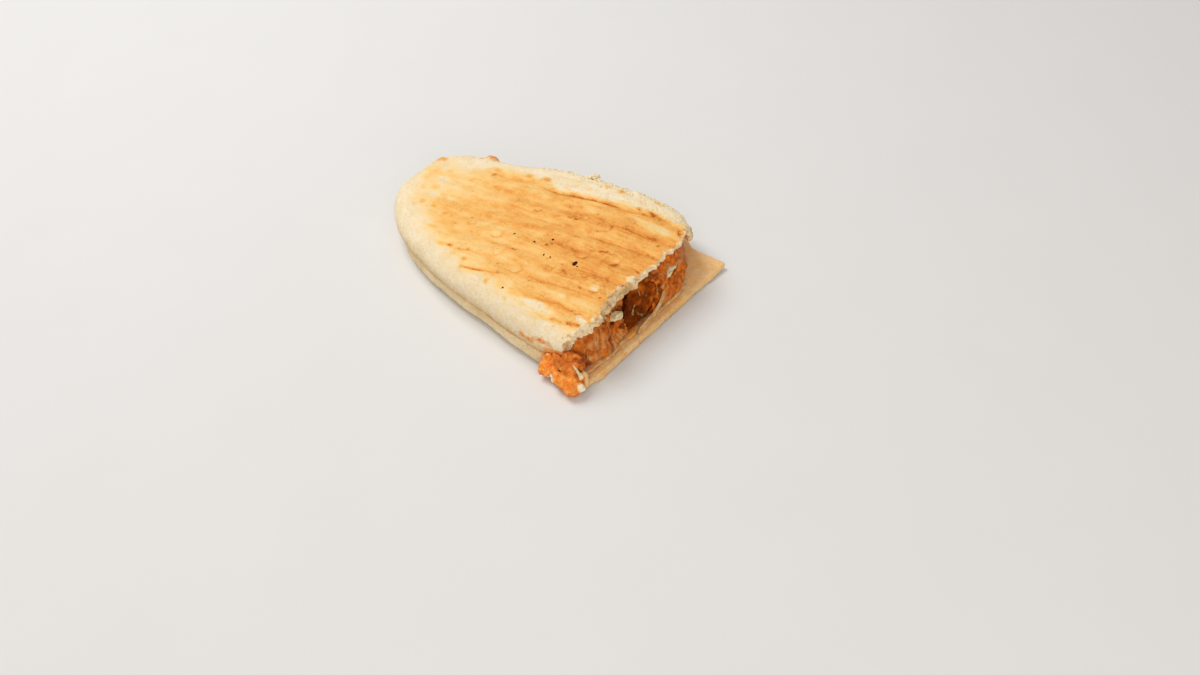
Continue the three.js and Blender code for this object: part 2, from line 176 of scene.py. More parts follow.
def pressed_band(lane, end=0.96):
    """1 on the bands that the plate's ribs pressed, 0 between them."""
    f = lane % 1
    return smooth(0.42, 0.62, f) * fade(end, 1.0, f)


def bite(x, y):
    """How firmly the ribs pressed: 1 in the middle, fading to the sides and the round end."""
    return smooth(12, 60, x) * fade(0.7, 0.95, np.abs(y) / np.maximum(half_width(x) - 4, 1))


# ---- meshes ----
@contextmanager
def edited(mesh):
    """The mesh opened for bmesh's operators, and written back when they are done."""
    bm = bmesh.new()
    bm.from_mesh(mesh)
    bm.verts.ensure_lookup_table()
    yield bm
    bm.to_mesh(mesh)
    bm.free()
    mesh.update()


def points(mesh):
    co = np.empty(len(mesh.vertices) * 3)
    mesh.vertices.foreach_get("co", co)
    return co.reshape(-1, 3) / MM - LAYOUT


def place(mesh, p):
    mesh.vertices.foreach_set("co", ((p + LAYOUT) * MM).ravel())
    mesh.update()


def facing(mesh):
    n = np.empty(len(mesh.vertices) * 3)
    mesh.vertex_normals.foreach_get("vector", n)
    return n.reshape(-1, 3)


def swell(mesh, height):
    """Moves the surface out along its normals by `height` mm."""
    place(mesh, points(mesh) + facing(mesh) * height[:, None])


def paint(mesh, **layers):
    for name, values in layers.items():
        layer = mesh.attributes.new(name, "FLOAT", "POINT")
        layer.data.foreach_set("value", np.clip(values, 0, 1).astype(np.float32))


def at(x, y, z):
    """A point of the layout in the frame, in metres."""
    return Vector(((np.array((x, y, z)) + LAYOUT) * MM).tolist())


def skin(node, voxel, relax=3):
    """An even, closed copy of a node's shape with faces `voxel` mm across, its flats and edges eased."""
    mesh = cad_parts[node].data.copy()
    with edited(mesh) as bm:
        bmesh.ops.remove_doubles(bm, verts=bm.verts, dist=1e-6)
    raw = bpy.data.objects.new("raw", mesh)
    bpy.context.scene.collection.objects.link(raw)
    remesh = raw.modifiers.new("even", "REMESH")
    remesh.mode = "VOXEL"
    remesh.voxel_size = voxel * MM
    graph = bpy.context.evaluated_depsgraph_get()
    even = bpy.data.meshes.new_from_object(raw.evaluated_get(graph))
    bpy.data.objects.remove(raw)
    ease(even, relax)
    even.materials.clear()
    return even


def ease(mesh, times, keep=None):
    """Evens out the surface. `keep` says, for points in the layout, which of them stay where they are."""
    axes = {"use_axis_x": True, "use_axis_y": True, "use_axis_z": True}
    with edited(mesh) as bm:
        moving = list(bm.verts)
        if keep is not None:
            held = keep(points(mesh), facing(mesh))
            moving = [v for v, h in zip(bm.verts, held) if not h]
        for _ in range(times):
            bmesh.ops.smooth_vert(bm, verts=moving, factor=0.5, **axes)


def refine(mesh, where, times=1):
    """Splits faces with a corner where `where` is true into four, so that they can carry fine relief."""
    for _ in range(times):
        chosen = where(points(mesh), facing(mesh))
        with edited(mesh) as bm:
            faces = {f for v, c in zip(bm.verts, chosen) if c for f in v.link_faces}
            edges = list({e for f in faces for e in f.edges})
            bmesh.ops.subdivide_edges(bm, edges=edges, cuts=1, use_grid_fill=True)
            bmesh.ops.triangulate(bm, faces=[f for f in bm.faces if len(f.verts) > 4])


def finished(name, mesh, finish, replaced=None):
    """Makes the piece: kept inside the frame's box, smooth, in its finish, riding on the one body."""
    low, high = (np.array(corner) / MM - LAYOUT for corner in CAD_BOX)
    place(mesh, np.clip(points(mesh), low, high))
    mesh.name = name
    mesh.shade_smooth()
    mesh.materials.clear()
    mesh.materials.append(finish)
    piece = bpy.data.objects.new(name, mesh)
    bpy.context.scene.collection.objects.link(piece)
    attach(piece, "root")
    if replaced:
        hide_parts(replaced)
    return piece


def surface_of(mesh):
    """A tree for casting rays at a mesh, which is in the frame, in metres."""
    bm = bmesh.new()
    bm.from_mesh(mesh)
    tree = BVHTree.FromBMesh(bm)
    bm.free()
    return tree


def landing(tree, start, direction):
    """Where a ray from a point of the layout meets the surface: the point and its normal, or None twice."""
    hit, normal, _, _ = tree.ray_cast(at(*start), Vector(direction))
    return (None, None) if hit is None else (hit, normal)


def from_above(tree, x, y):
    return landing(tree, (x, y, ABOVE), (0, 0, -1))


def at_the_cut(tree, y, z):
    return landing(tree, (BEYOND_CUT, y, z), (-1, 0, 0))


def pebble(bm, centre, radii, normal, turn, seed, detail=1):
    """An uneven lump in the frame, its third radius along `normal`."""
    spin = normal.to_track_quat("Z", "Y").to_matrix().to_4x4() @ Matrix.Rotation(turn, 4, "Z")
    size = Matrix.Diagonal((*[r * MM for r in radii], 1))
    made = bmesh.ops.create_icosphere(bm, subdivisions=detail, radius=1)["verts"]
    local = np.array([v.co for v in made]) * 1.7 + seed
    swelling = 1 + PEBBLE_ROUGHNESS * grain(local, 1.0, seed)
    for v, s in zip(made, swelling):
        v.co *= s
    bmesh.ops.transform(bm, matrix=Matrix.Translation(centre) @ spin @ size, verts=made)
    return made


def straight_strand(steps=9):
    """A closed round rod of unit size along z, in short lengths, for strands to be bent from."""
    bm = bmesh.new()
    bmesh.ops.create_cone(bm, cap_ends=True, segments=6, radius1=1, radius2=1, depth=1)
    long_edges = [e for e in bm.edges if abs(e.verts[0].co.z - e.verts[1].co.z) > 0.5]
    bmesh.ops.subdivide_edges(bm, edges=long_edges, cuts=steps)
    return mesh_of(bm)


def shred(bm, rod, path, width, thickness, outward, layers):
    """Bends a rod along `path`, three points in the frame, flattened against what it lies on."""
    before = len(bm.verts)
    bm.from_mesh(rod)
    bm.verts.ensure_lookup_table()
    a, b, c = path
    for v in bm.verts[before:]:
        t = v.co.z + 0.5
        middle = a * (1 - t) ** 2 + b * (2 * t * (1 - t)) + c * t**2
        along = ((b - a) * (1 - t) + (c - b) * t).normalized()
        across = along.cross(outward).normalized()
        taper = math.sin(math.pi * (0.06 + 0.88 * t)) ** 0.6
        v.co = middle + across * (v.co.x * width * MM * taper) + outward * (v.co.y * thickness * MM * taper)
        for layer, value in layers:
            v[layer] = value


def mesh_of(bm):
    mesh = bpy.data.meshes.new("made")
    bmesh.ops.recalc_face_normals(bm, faces=bm.faces)
    bm.to_mesh(mesh)
    bm.free()
    return mesh


# ---- materials ----
def tone(red, green, blue):
    """A display colour, 0 to 255, as the linear colour that a shader takes."""
    linear = [((c / 255 + 0.055) / 1.055) ** 2.4 if c > 10 else c / 255 / 12.92 for c in (red, green, blue)]
    return (*linear, 1.0)


class Value:
    """A number that varies over a surface. Sums and products with it add Math nodes."""

    def __init__(self, finish, socket):
        self.finish, self.socket = finish, socket

    def _math(self, operation, first, second, clamped=False):
        settings = {"operation": operation, "use_clamp": clamped}
        return self.finish.add("ShaderNodeMath", settings, {0: first, 1: second})

    def __add__(self, other):
        return self._math("ADD", self, other)

    __radd__ = __add__

    def __sub__(self, other):
        return self._math("SUBTRACT", self, other)

    def __rsub__(self, other):
        return self._math("SUBTRACT", other, self)

    def __mul__(self, other):
        return self._math("MULTIPLY", self, other)

    def away_from(self, level):
        return self._math("ABSOLUTE", self - level, 0.0)

    def between(self, low, high):
        """0 below low, 1 above high, and a straight rise between them."""
        return self._math("MULTIPLY", self - low, 1 / (high - low), clamped=True)


class Finish:
    """A material while it is made: one Principled shader and the nodes that feed it."""

    def __init__(self, name, inner=(), **constants):
        """`inner`: how much light goes in, how far in metres, and red, green and blue's share of that."""
        self.material = bpy.data.materials.new(name)
        self.material.use_nodes = True
        self.nodes = self.material.node_tree.nodes
        self.links = self.material.node_tree.links
        self.shader = self.nodes["Principled BSDF"]
        for socket, value in zip(("Weight", "Scale", "Radius"), inner):
            self.shader.inputs["Subsurface " + socket].default_value = value
        for socket, value in constants.items():
            self.shader.inputs[socket.replace("_", " ")].default_value = value
        self.place = self.add("ShaderNodeTexCoord", {}, {}, "Object")

    def add(self, kind, settings, sockets, output=0):
        node = self.nodes.new(kind)
        for name, value in settings.items():
            if name == "stops":
                ramp = node.color_ramp
                while len(ramp.elements) < len(value):
                    ramp.elements.new(0.5)
                for element, (position, colour) in zip(ramp.elements, value):
                    element.position, element.color = position, colour
            else:
                setattr(node, name, value)
        for name, value in sockets.items():
            if isinstance(value, Value):
                self.links.new(value.socket, node.inputs[name])
            else:
                node.inputs[name].default_value = value
        return Value(self, node.outputs[output])

    def layer(self, name):
        return self.add("ShaderNodeAttribute", {"attribute_name": name}, {}, "Fac")

    def noise(self, size, detail=3.0, stretch=(1, 1, 1), turn=0.0, seed=0.0):
        """Noise from 0 to 1 with lumps `size` mm across, longer along the axes that stretch raises."""
        mapped = {"Scale": [1 / s for s in stretch], "Rotation": (0, 0, turn), "Location": (seed, seed, 0)}
        place = self.add("ShaderNodeMapping", {}, {"Vector": self.place, **mapped})
        sockets = {"Vector": place, "Scale": 1 / (size * MM), "Detail": detail}
        return self.add("ShaderNodeTexNoise", {}, sockets)

    def ramp(self, value, stops):
        return self.add("ShaderNodeValToRGB", {"stops": stops}, {0: value})

    def blend(self, factor, under, over):
        settings = {"data_type": "RGBA", "blend_type": "MIX", "clamp_factor": True}
        return self.add("ShaderNodeMix", settings, {0: factor, 6: under, 7: over}, 2)

    def relief(self, *layers):
        """Bump from (height, distance in mm, strength) layers, finest last."""
        normal = None
        for height, distance, strength in layers:
            sockets = {"Height": height, "Distance": distance * MM, "Strength": strength}
            if normal is not None:
                sockets["Normal"] = normal
            normal = self.add("ShaderNodeBump", {}, sockets)
        self.feed("Normal", normal)

    def feed(self, socket, value):
        self.links.new(value.socket, self.shader.inputs[socket])

    def done(self, colour, roughness, *relief):
        self.feed("Base Color", colour)
        self.feed("Roughness", roughness)
        self.relief(*relief)
        return self.material


CREAM_LIGHT = tone(246, 233, 208)
CREAM = tone(241, 222, 186)
CREAM_SHADE = tone(218, 186, 136)
LIGHT_GOLD = tone(246, 209, 142)
GOLD = tone(244, 187, 104)
DEEP_GOLD = tone(232, 157, 72)
TOAST_BROWN = tone(214, 132, 54)
BROWN = tone(182, 98, 34)
CHAR = tone(44, 17, 4)
CHAR_BROWN = tone(120, 56, 14)
CRUMB_LIGHT = tone(250, 239, 212)
CRUMB = tone(240, 218, 176)
CRUMB_SHADE = tone(206, 168, 118)
CRUMB_BROWN = tone(164, 112, 66)
CRUMB_WARM = tone(240, 184, 106)
OIL = tone(244, 166, 68)
OIL_DEEP = tone(216, 122, 30)
SAUCE_BRIGHT = tone(236, 136, 38)
SAUCE = tone(204, 100, 16)
SAUCE_DEEP = tone(160, 74, 8)
BURNT_SAUCE = tone(108, 44, 2)
FLESH = tone(212, 164, 104)
FLESH_TAN = tone(182, 122, 64)
CHEESE_PALE = tone(224, 184, 128)
CHEESE_WARM = tone(198, 140, 80)
TOAST_STOPS = [
    (0.0, CREAM_LIGHT), (0.12, CREAM), (0.37, LIGHT_GOLD), (0.64, GOLD), (0.84, DEEP_GOLD),
    (0.94, TOAST_BROWN), (1.0, BROWN),
]
CRUMB_STOPS = [(0.15, CRUMB_LIGHT), (0.45, CRUMB), (0.8, CRUMB_SHADE), (1.0, CRUMB_BROWN)]
SAUCE_STOPS = [(0.32, SAUCE_DEEP), (0.48, SAUCE), (0.68, SAUCE_BRIGHT)]
PEPPER_STOPS = [
    (0.0, tone(70, 24, 0)), (0.35, tone(132, 58, 4)), (0.65, tone(178, 86, 14)), (1.0, tone(214, 116, 30)),
]
RIB_TURN = -math.atan(RIB_SLOPE)


def toasted_bread(name, depth=1.0):
    """Toast, torn crumb whose pits are darkened as painted shade, painted shade low on the sides, a warmer
    tan crumb and oily stains, each where its layer says.
    `depth` is the share of the full relief."""
    f = Finish(name, (0.08, 0.0012, (1.0, 0.6, 0.3)), Specular_IOR_Level=0.14)
    streaks = f.noise(0.9, 4, stretch=(9, 1, 1), turn=RIB_TURN)
    wide_streaks = f.noise(2.6, 4, stretch=(6, 1, 1), turn=RIB_TURN, seed=0.031)
    hairs = f.noise(0.5, 2, stretch=(7, 1, 1), turn=RIB_TURN, seed=0.017).between(0.62, 0.8)
    mottle = f.noise(4.4, 6, seed=0.07)
    fine = f.noise(0.6, 5, seed=0.013)
    soft = f.noise(1.3, 5, seed=0.2)
    cracked = f.noise(6.0, 2, seed=0.11).between(0.5, 0.62)
    cracks = f.noise(1.7, 4, seed=0.05).away_from(0.5).between(0.022, 0.0) * cracked
    toast = f.layer("toast")
    browned = toast.between(0.08, 0.45)
    varied = toast * 0.9 + browned * ((streaks - 0.5) * 0.26 + (wide_streaks - 0.5) * 0.22 + hairs * 0.14)
    varied = varied + (mottle - 0.5) * 0.3 + (soft - 0.5) * 0.2 + (fine - 0.5) * 0.26 + cracks * 0.16 + 0.1
    colour = f.ramp(varied, TOAST_STOPS)
    # Painted shade: where this layer says, the cream darkens towards CREAM_SHADE, low on the sides; on crumb
    # the same layer warms it to CRUMB_WARM.
    tan = f.layer("tan")
    grit = (fine + soft * 0.7 - 0.88) * (1 - browned) * 1.1
    colour = f.blend((tan + (soft - 0.5) * 0.5 * tan + grit).between(0.0, 1.0), colour, CREAM_SHADE)
    crumb = f.layer("crumb")
    pit = f.layer("pit")
    # Painted shade: the crumb darkens in its pits and where this layer says, and turns brown where sauce
    # soaked it.
    crumb_colour = f.ramp(pit * 0.5 + (soft - 0.5) * 0.5 + (fine - 0.5) * 0.35 + 0.3, CRUMB_STOPS)
    colour = f.blend(crumb, colour, f.blend(tan * 0.8, crumb_colour, CRUMB_WARM))
    stain = f.layer("oil")
    oil = (stain + (soft - 0.5) * 0.9 * stain).between(0.1, 0.85)
    colour = f.blend(oil * 0.9, colour, f.blend(fine.between(0.4, 0.62), OIL, OIL_DEEP))
    return f.done(
        colour,
        0.78 - browned * 0.16 - oil * 0.24 + crumb * 0.2,
        (streaks * browned, 0.2 * depth, 0.3),
        (soft * browned, 0.4 * depth, 0.5),
        (soft * crumb, 0.35 * depth, 0.6),
        (cracks, -0.25 * depth, 0.5),
        (fine + mottle * 0.5, 0.24 * depth, 0.7),
    )


def sauced_chicken(name):
    """Shredded flesh under orange sauce: `pale` is bare flesh, `dark` is browned."""
    f = Finish(name, (0.06, 0.0015, (1.0, 0.5, 0.2)), Specular_IOR_Level=0.12)
    fibre = f.noise(0.5, 4, seed=0.02)
    blotch = f.noise(1.6, 5, seed=0.11)
    sauce = f.ramp(blotch, SAUCE_STOPS)
    pale = (f.layer("pale") + (fibre - 0.5) * 0.5 + (blotch - 0.5) * 0.4).between(0.0, 1.0)
    flesh = f.blend(f.noise(2.2, 4, seed=0.3).between(0.4, 0.65), FLESH, FLESH_TAN)
    colour = f.blend(pale, sauce, flesh)
    colour = f.blend((f.layer("dark") + (fibre - 0.5) * 0.4).between(0.12, 0.9), colour, BURNT_SAUCE)
    return f.done(colour, 0.38 + pale * 0.2 + fibre * 0.12, (blotch, 0.3, 0.4), (fibre, 0.14, 0.5))


def melted_cheese(name, pale, warm):
    f = Finish(name, (0.2, 0.002, (1.0, 0.6, 0.3)), IOR=1.4)
    blotch = f.noise(2.4, 4)
    drawn = f.noise(0.45, 4, stretch=(1, 9, 1), seed=0.05)
    colour = f.blend((drawn + (blotch - 0.5)).between(0.38, 0.66), pale, warm)
    stain = f.layer("oil")
    colour = f.blend((stain + (drawn - 0.5) * stain).between(0.1, 0.9), colour, OIL)
    return f.done(colour, 0.42 + blotch * 0.2, (drawn, 0.2, 0.5))


def browned_pepper(name):
    """Dark and glossy, browner and more orange where its layer `warm` says."""
    f = Finish(name, IOR=1.4, Specular_IOR_Level=0.06)
    blotch = f.noise(2.0, 5)
    wrinkle = f.noise(0.7, 4, stretch=(1, 2, 1), seed=0.3)
    colour = f.ramp(f.layer("warm") + (blotch - 0.5) * 0.7 + (wrinkle - 0.5) * 0.4, PEPPER_STOPS)
    return f.done(colour, 0.45 + wrinkle * 0.3, (blotch, 0.4, 0.4), (wrinkle, 0.25, 0.6))


def cooked_onion(name, light, middle, shade):
    f = Finish(name, (0.2, 0.002), IOR=1.4, Specular_IOR_Level=0.25)
    layers = f.noise(0.7, 4, stretch=(1, 4, 1))
    colour = f.ramp(layers, [(0.35, light), (0.55, middle), (0.75, shade)])
    colour = f.blend(f.noise(1.5, 3, seed=0.2).between(0.56, 0.7) * 0.5, colour, SAUCE_BRIGHT)
    return f.done(colour, 0.34 + layers * 0.2, (layers, 0.3, 0.6))


def grainy_sauce(name):
    """Bright orange grains in sauce. `pale` is a crumb or a bit of flesh in it, `dark` makes it deeper and
    darker brown.
    """
    f = Finish(name, (0.05, 0.001, (1.0, 0.5, 0.15)), Specular_IOR_Level=0.2)
    grains = f.noise(0.5, 3)
    blotch = f.noise(1.7, 4, seed=0.09)
    stops = [(0.34, tone(224, 112, 22)), (0.5, tone(252, 150, 54)), (0.66, tone(255, 196, 116))]
    colour = f.ramp(blotch * 0.6 + grains * 0.4, stops)
    colour = f.blend((f.layer("pale") + (blotch - 0.5) * 0.5).between(0.2, 0.9), colour, CRUMB_LIGHT)
    dark = f.layer("dark") + (blotch - 0.5) * 0.6
    colour = f.blend(dark.between(0.25, 0.85), colour, f.blend(grains.between(0.4, 0.6), SAUCE, SAUCE_DEEP))
    colour = f.blend((f.layer("dark") + (blotch - 0.5) * 0.5).between(0.85, 1.05) * 0.8, colour, BURNT_SAUCE)
    return f.done(colour, 0.4 + grains * 0.25, (blotch, 0.3, 0.4), (grains, 0.22, 0.7))


def charred(name):
    f = Finish(name, Specular_IOR_Level=0.05)
    flecks = f.noise(0.4, 3)
    colour = f.blend(flecks.between(0.45, 0.7), CHAR, CHAR_BROWN)
    return f.done(colour, 0.55 + flecks * 0.3, (flecks, 0.15, 0.5))


TOASTED = toasted_bread("toasted_bread")
LOOSE_CRUMB = toasted_bread("loose_crumb", 0.15)
CHICKEN = sauced_chicken("sauced_chicken")
CHEESE = melted_cheese("melted_cheese", CHEESE_PALE, CHEESE_WARM)
PALE_CHEESE = melted_cheese("pale_cheese", tone(250, 234, 198), tone(232, 200, 148))
PEPPER = browned_pepper("browned_pepper")
ONION = cooked_onion("cooked_onion", tone(240, 228, 194), tone(214, 198, 152), tone(180, 158, 108))
FIBRE = cooked_onion("browned_fibre", tone(196, 178, 118), tone(160, 138, 82), tone(128, 92, 44))
SAUCE_GRAINS = grainy_sauce("grainy_sauce")
CHARRED = charred("charred_speck")

# ---- marks on the toasted face ----
# Edge of the toasted area on each side: x, y.
TOASTED_NEAR = (
    (-2, 5), (5, -4), (12, -12), (22, -17.5), (30, -23), (41, -28.5), (56, -32), (71, -33.5), (84, -36),
    (97, -36.8), (128, -37),
)
TOASTED_FAR = (
    (-2, 8), (4, 13), (12, 12.5), (20, 12), (26, 17), (32, 20.5), (46, 21), (54, 22.5), (60, 21), (68, 22),
    (76, 24), (84, 25.5), (92, 27), (100, 29), (110, 30.5), (128, 31),
)
# How brown the middle is along the roll: x, toast.
BROWNING = (
    (0, 0.1), (6, 0.2), (12, 0.26), (25, 0.38), (40, 0.55), (60, 0.64), (85, 0.72), (105, 0.74), (125, 0.72),
)
# Ribs whose bottom browned to a line: the line's points x, y; half-width, toast, depth.
CREASES = (
    (((54, 18.2), (62, 19.2), (66.8, 20.5), (72, 21.7), (78.1, 23), (83, 23.6), (88.3, 24.1), (92.5, 24.8),
      (96.6, 26), (100.5, 27.6), (104.6, 28.8), (109, 29.2), (113, 28.8)), 0.95, 0.96, 0.45),
    (((92, 15), (95.6, 15.3), (101.9, 15.8), (108.3, 16), (116.4, 16.9), (122, 17.4)), 0.7, 0.98, 0.35),
    (((91, 4.4), (98.2, 5.6), (103, 6.9), (111, 7.6), (115, 8.9), (121, 9.2)), 0.75, 0.93, 0.3),
    (((87, -4.6), (94.7, -4.2), (98.2, -3), (103.5, -3.1), (111, -3.2), (119, -1.9)), 0.55, 0.86, 0.2),
    (((108, -10), (111.8, -9.8), (118.6, -10.6)), 0.5, 0.92, 0.2),
    (((80, -26.4), (85, -25.4), (93.9, -23.6), (105.5, -21.2), (110.1, -20.5),
      (119.5, -19.2)), 0.5, 0.84, 0.28),
    (((84, -35), (90, -33.3), (94, -32.2), (98.8, -30.8), (105.4, -28.9), (111, -29),
      (117, -28.6)), 0.6, 0.9, 0.3),
    (((58, -32.8), (62, -32.7), (67, -32), (72, -30.6), (79, -28.6)), 1.0, 0.92, 0.25),
    (((50, -27.4), (56, -25.4), (62, -24.6), (70, -23.5)), 0.6, 0.8, 0.15),
)
# Paler and browner patches: x, y, half-lengths along x and y, change of toast.
PATCHES = (
    (97, -33.3, 8, 1.9, -0.34), (104.3, -25.5, 1.6, 1.2, -0.22), (104, -33, 6, 2, -0.2),
    (109, 22.5, 11, 3.4, -0.33), (81, 17.3, 4, 1.6, -0.14), (83.3, 12.1, 1.1, 0.9, -0.2),
    (26, -3, 8, 3, 0.06), (84, -30.8, 4.5, 1.5, -0.24), (15.5, 3.6, 3.6, 1.7, -0.24), (64, -28, 7, 1.6, -0.1),
    (113, -24.8, 6, 1.6, -0.14), (19, -6.2, 3, 2.6, -0.14), (42, 8.6, 2, 1.4, -0.12),
    (111, 11.5, 9, 2.4, -0.1), (87.5, 14.8, 4, 1.6, 0.12), (80, 4, 9, 2.6, 0.04),
    (68.2, -21.3, 2, 1.2, -0.12), (100, -8, 14, 5, 0.05), (49, 11.2, 5, 2.6, 0.12), (38, 10, 3, 2.4, 0.1),
    (58, 2.5, 8, 3, 0.03), (64, -3, 10, 3, 0.06), (98, -17, 8, 4, 0.02), (60, -20, 6, 1.8, -0.08),
    (46, -17, 6, 2, -0.06), (70, 9, 5, 2, 0.06), (72, 16.6, 4, 1.2, -0.08), (90, 20, 5, 1.6, -0.06),
    (92, 22, 3, 1, 0.12), (116, 4, 5, 4, 0.03), (66, 12.6, 8, 3, -0.1), (101, -26.6, 6, 1.6, -0.06),
    (40, 1, 8, 4, -0.03),
)
# Blisters: x, y, radius, height, how much paler.
BLISTERS = (
    (111.9, -16.7, 1.8, 0.34, 0.42), (80.6, -24.5, 2.2, 0.3, 0.12), (96.3, -5.6, 1.7, 0.3, 0.16),
    (60.4, -13.2, 2.0, 0.3, 0.16), (68.2, -21, 1.5, 0.2, 0.1), (46, -12, 1.9, 0.14, 0.06),
    (104, -13, 1.1, 0.1, 0.04), (106.5, -1, 3.2, 0.14, 0.02), (83.3, 12.1, 1.0, 0.2, 0.1),
    (72, -15.4, 1.3, 0.12, 0.06), (63.6, 6.6, 1.4, 0.12, 0.08),
)
# Thin dark cracks: from x, y to x, y, half-width, depth.
CRACKS = (
    (100, 0, 102.2, 0.9, 0.35, 0.3), (102.2, 0.9, 105.4, 1.4, 0.35, 0.3), (91.3, 7.9, 95.5, 10.3, 0.3, 0.2),
    (94.6, 14.2, 95.4, 10.8, 0.4, 0.3), (89.7, -18.8, 92, -18.9, 0.3, 0.2), (92, -18.9, 92, -14.9, 0.3, 0.2),
    (115.1, 0.3, 119, -0.9, 0.35, 0.25), (86.2, -36.3, 86.7, -38.3, 0.3, 0.25),
    (73.3, -1.6, 78.3, -0.9, 0.3, 0.1), (83.2, 1.2, 88.5, 1.7, 0.35, 0.14), (97, -18, 104, -16.4, 0.3, 0.16),
    (115.4, 26.6, 118.2, 24.2, 0.4, 0.3), (101, -31.7, 104.6, -33.4, 0.3, 0.2),
    (104.6, -12.4, 106, -15.6, 0.3, 0.16), (105.8, -18.6, 107.6, -19.6, 0.35, 0.2),
    (111.6, -9.3, 113.2, -10.4, 0.35, 0.25), (86.8, -12.4, 85.8, -14, 0.3, 0.2),
    (93.6, -14, 98, -16.4, 0.3, 0.14), (95, -37.4, 100, -38.6, 0.3, 0.12), (70, -36.6, 77, -37.8, 0.3, 0.1),
    (104, -36, 108, -33, 0.3, 0.12),
)
# Brown streaks: from x, y to x, y, half-width, strength.
STREAKS = (
    (76.4, 8.3, 79.2, 8.9, 0.9, 0.5), (79.6, 8.9, 81.4, 9, 0.9, 0.55), (71, 6.9, 76.6, 8.2, 0.6, 0.25),
    (72, 6, 73.6, 8, 0.8, 0.25), (106, -35.4, 113, -34.6, 1.2, 0.5), (112, -34.4, 119.6, -32.9, 1.7, 0.75),
    (97, -36.6, 109.6, -35.9, 1.1, 0.3), (107, -30.4, 112, -29.4, 0.9, 0.2),
    (88, -26.6, 96, -24.4, 1.2, 0.14), (90, 28, 97, 27, 0.9, 0.3), (99, 30, 103, 28.6, 1.4, 0.4),
    (94, 28.6, 96.4, 27.2, 1.3, 0.45), (56.2, 27.6, 68, 29.2, 1.1, 0.34), (74, 31.5, 84, 33.6, 1.2, 0.24),
    (84, 27, 92, 28.4, 0.9, 0.24), (12.5, -6.5, 8, -1.5, 1.9, 0.2), (8, -1.5, 7, 4, 1.9, 0.22),
    (7, 4, 7.8, 9, 1.9, 0.18), (1.5, 8, 5, 15, 1.6, 0.22), (28, -21.6, 38, -21.6, 2.0, 0.2),
    (41, -27.6, 50, -26.6, 1.2, 0.3), (26, 19.4, 33, 19, 1.2, 0.32), (23.5, 8, 29.5, 7.6, 1.5, 0.22),
    (53, 18.4, 64, 18.6, 1.3, 0.16), (46, 12, 53, 13.4, 1.3, 0.14), (74, 22.4, 86, 24.8, 1.3, 0.2),
    (66, 21.4, 76, 21.8, 1.3, 0.2), (96, -30.8, 104, -29.8, 0.8, 0.2), (20, -2, 34, 0.4, 1.4, 0.1),
    (34, -8, 52, -6, 1.6, 0.08), (58, 7.6, 66, 9, 1.0, 0.1), (114, -29.6, 116, -28.6, 0.9, 0.3),
)
# Brown or orange spots: x, y, radius, toast, oil.
SPOTS = (
    (12.6, 8, 1.9, 0.34, 0), (16.5, -2.2, 2.4, 0.28, 0), (17.9, -11.4, 2.1, 0.34, 0),
    (11.9, -6.1, 2, 0.14, 0), (24.4, -11.8, 1.1, 0.28, 0), (20, -19.9, 1.1, 0.26, 0), (32, -13, 1.6, 0.38, 0),
    (33.5, -21.6, 3, 0.14, 0), (44.7, -27.6, 2, 0.2, 0), (49, -26.4, 1.9, 0.4, 0), (57, -24.9, 1.3, 0.42, 0),
    (59.6, -30, 1.6, 0.42, 0.1), (26, 8, 1.8, 0.16, 0), (30.9, 15.3, 1.8, 0.36, 0), (29.8, 19.2, 1.8, 0.2, 0),
    (44.9, 22.3, 2.3, 0.4, 0.1), (52.6, 23.4, 2.8, 0.55, 0.25), (66.2, 26.2, 1.4, 0.42, 0.1),
    (71.4, 26.6, 2.2, 0.24, 0), (67.4, 15.8, 1.9, 0.16, 0), (56.8, 5.8, 0.9, 0.3, 0),
    (55.1, 9.3, 0.8, 0.26, 0), (76.4, 33, 2.6, 0.4, 0.3), (83.2, 32.5, 2.4, 0.6, 0.4),
    (82.2, 33.6, 1.1, 0.4, 0), (99.4, 36.1, 3, 0.3, 0.4), (3.8, 13, 2.6, 0.4, 0.4),
    (72.7, -25.8, 1.1, 0.45, 0), (74.8, -34.1, 1.7, 0.5, 0.15), (86.1, -36.4, 1.4, 0.32, 0.05),
    (81.5, -7.4, 2.2, 0.14, 0), (115.6, 14.2, 1, 0.42, 0), (117, 25.4, 1.3, 0.3, 0), (94, -35.4, 1.2, 0.2, 0),
    (80.9, -8.1, 0.9, 0.55, 0), (82.5, -6.3, 0.7, 0.5, 0), (80.2, -9.6, 0.6, 0.45, 0),
    (92.8, -12.8, 0.6, 0.4, 0), (102.5, -13.4, 0.75, 0.6, 0), (104.8, -14.2, 0.8, 0.34, 0),
    (118.3, -14, 0.6, 0.7, 0), (103.9, -27.2, 0.5, 0.5, 0), (85.5, -26.9, 0.6, 0.4, 0),
    (89.3, -26.4, 0.6, 0.4, 0), (88.2, -28.1, 0.6, 0.36, 0), (85.3, 16.3, 0.8, 0.4, 0),
    (71.3, 2.5, 0.75, 0.8, 0), (89.5, 11.7, 0.6, 0.5, 0), (114, -29.7, 0.6, 1.0, 0),
    (43.9, -9.6, 0.7, 0.8, 0), (107, -19.2, 0.7, 0.4, 0), (118.6, -19.2, 0.8, 0.5, 0),
    (116, -19, 0.6, 0.4, 0), (109.9, -37, 0.6, 0.5, 0), (54, -23.4, 0.5, 0.5, 0), (108, 26.5, 1.4, 0.16, 0),
    (62, -10, 0.5, 0.4, 0), (98.6, -8.4, 0.5, 0.3, 0), (77, -20.6, 2.6, 0.12, 0), (67, -19.4, 0.6, 0.3, 0),
)
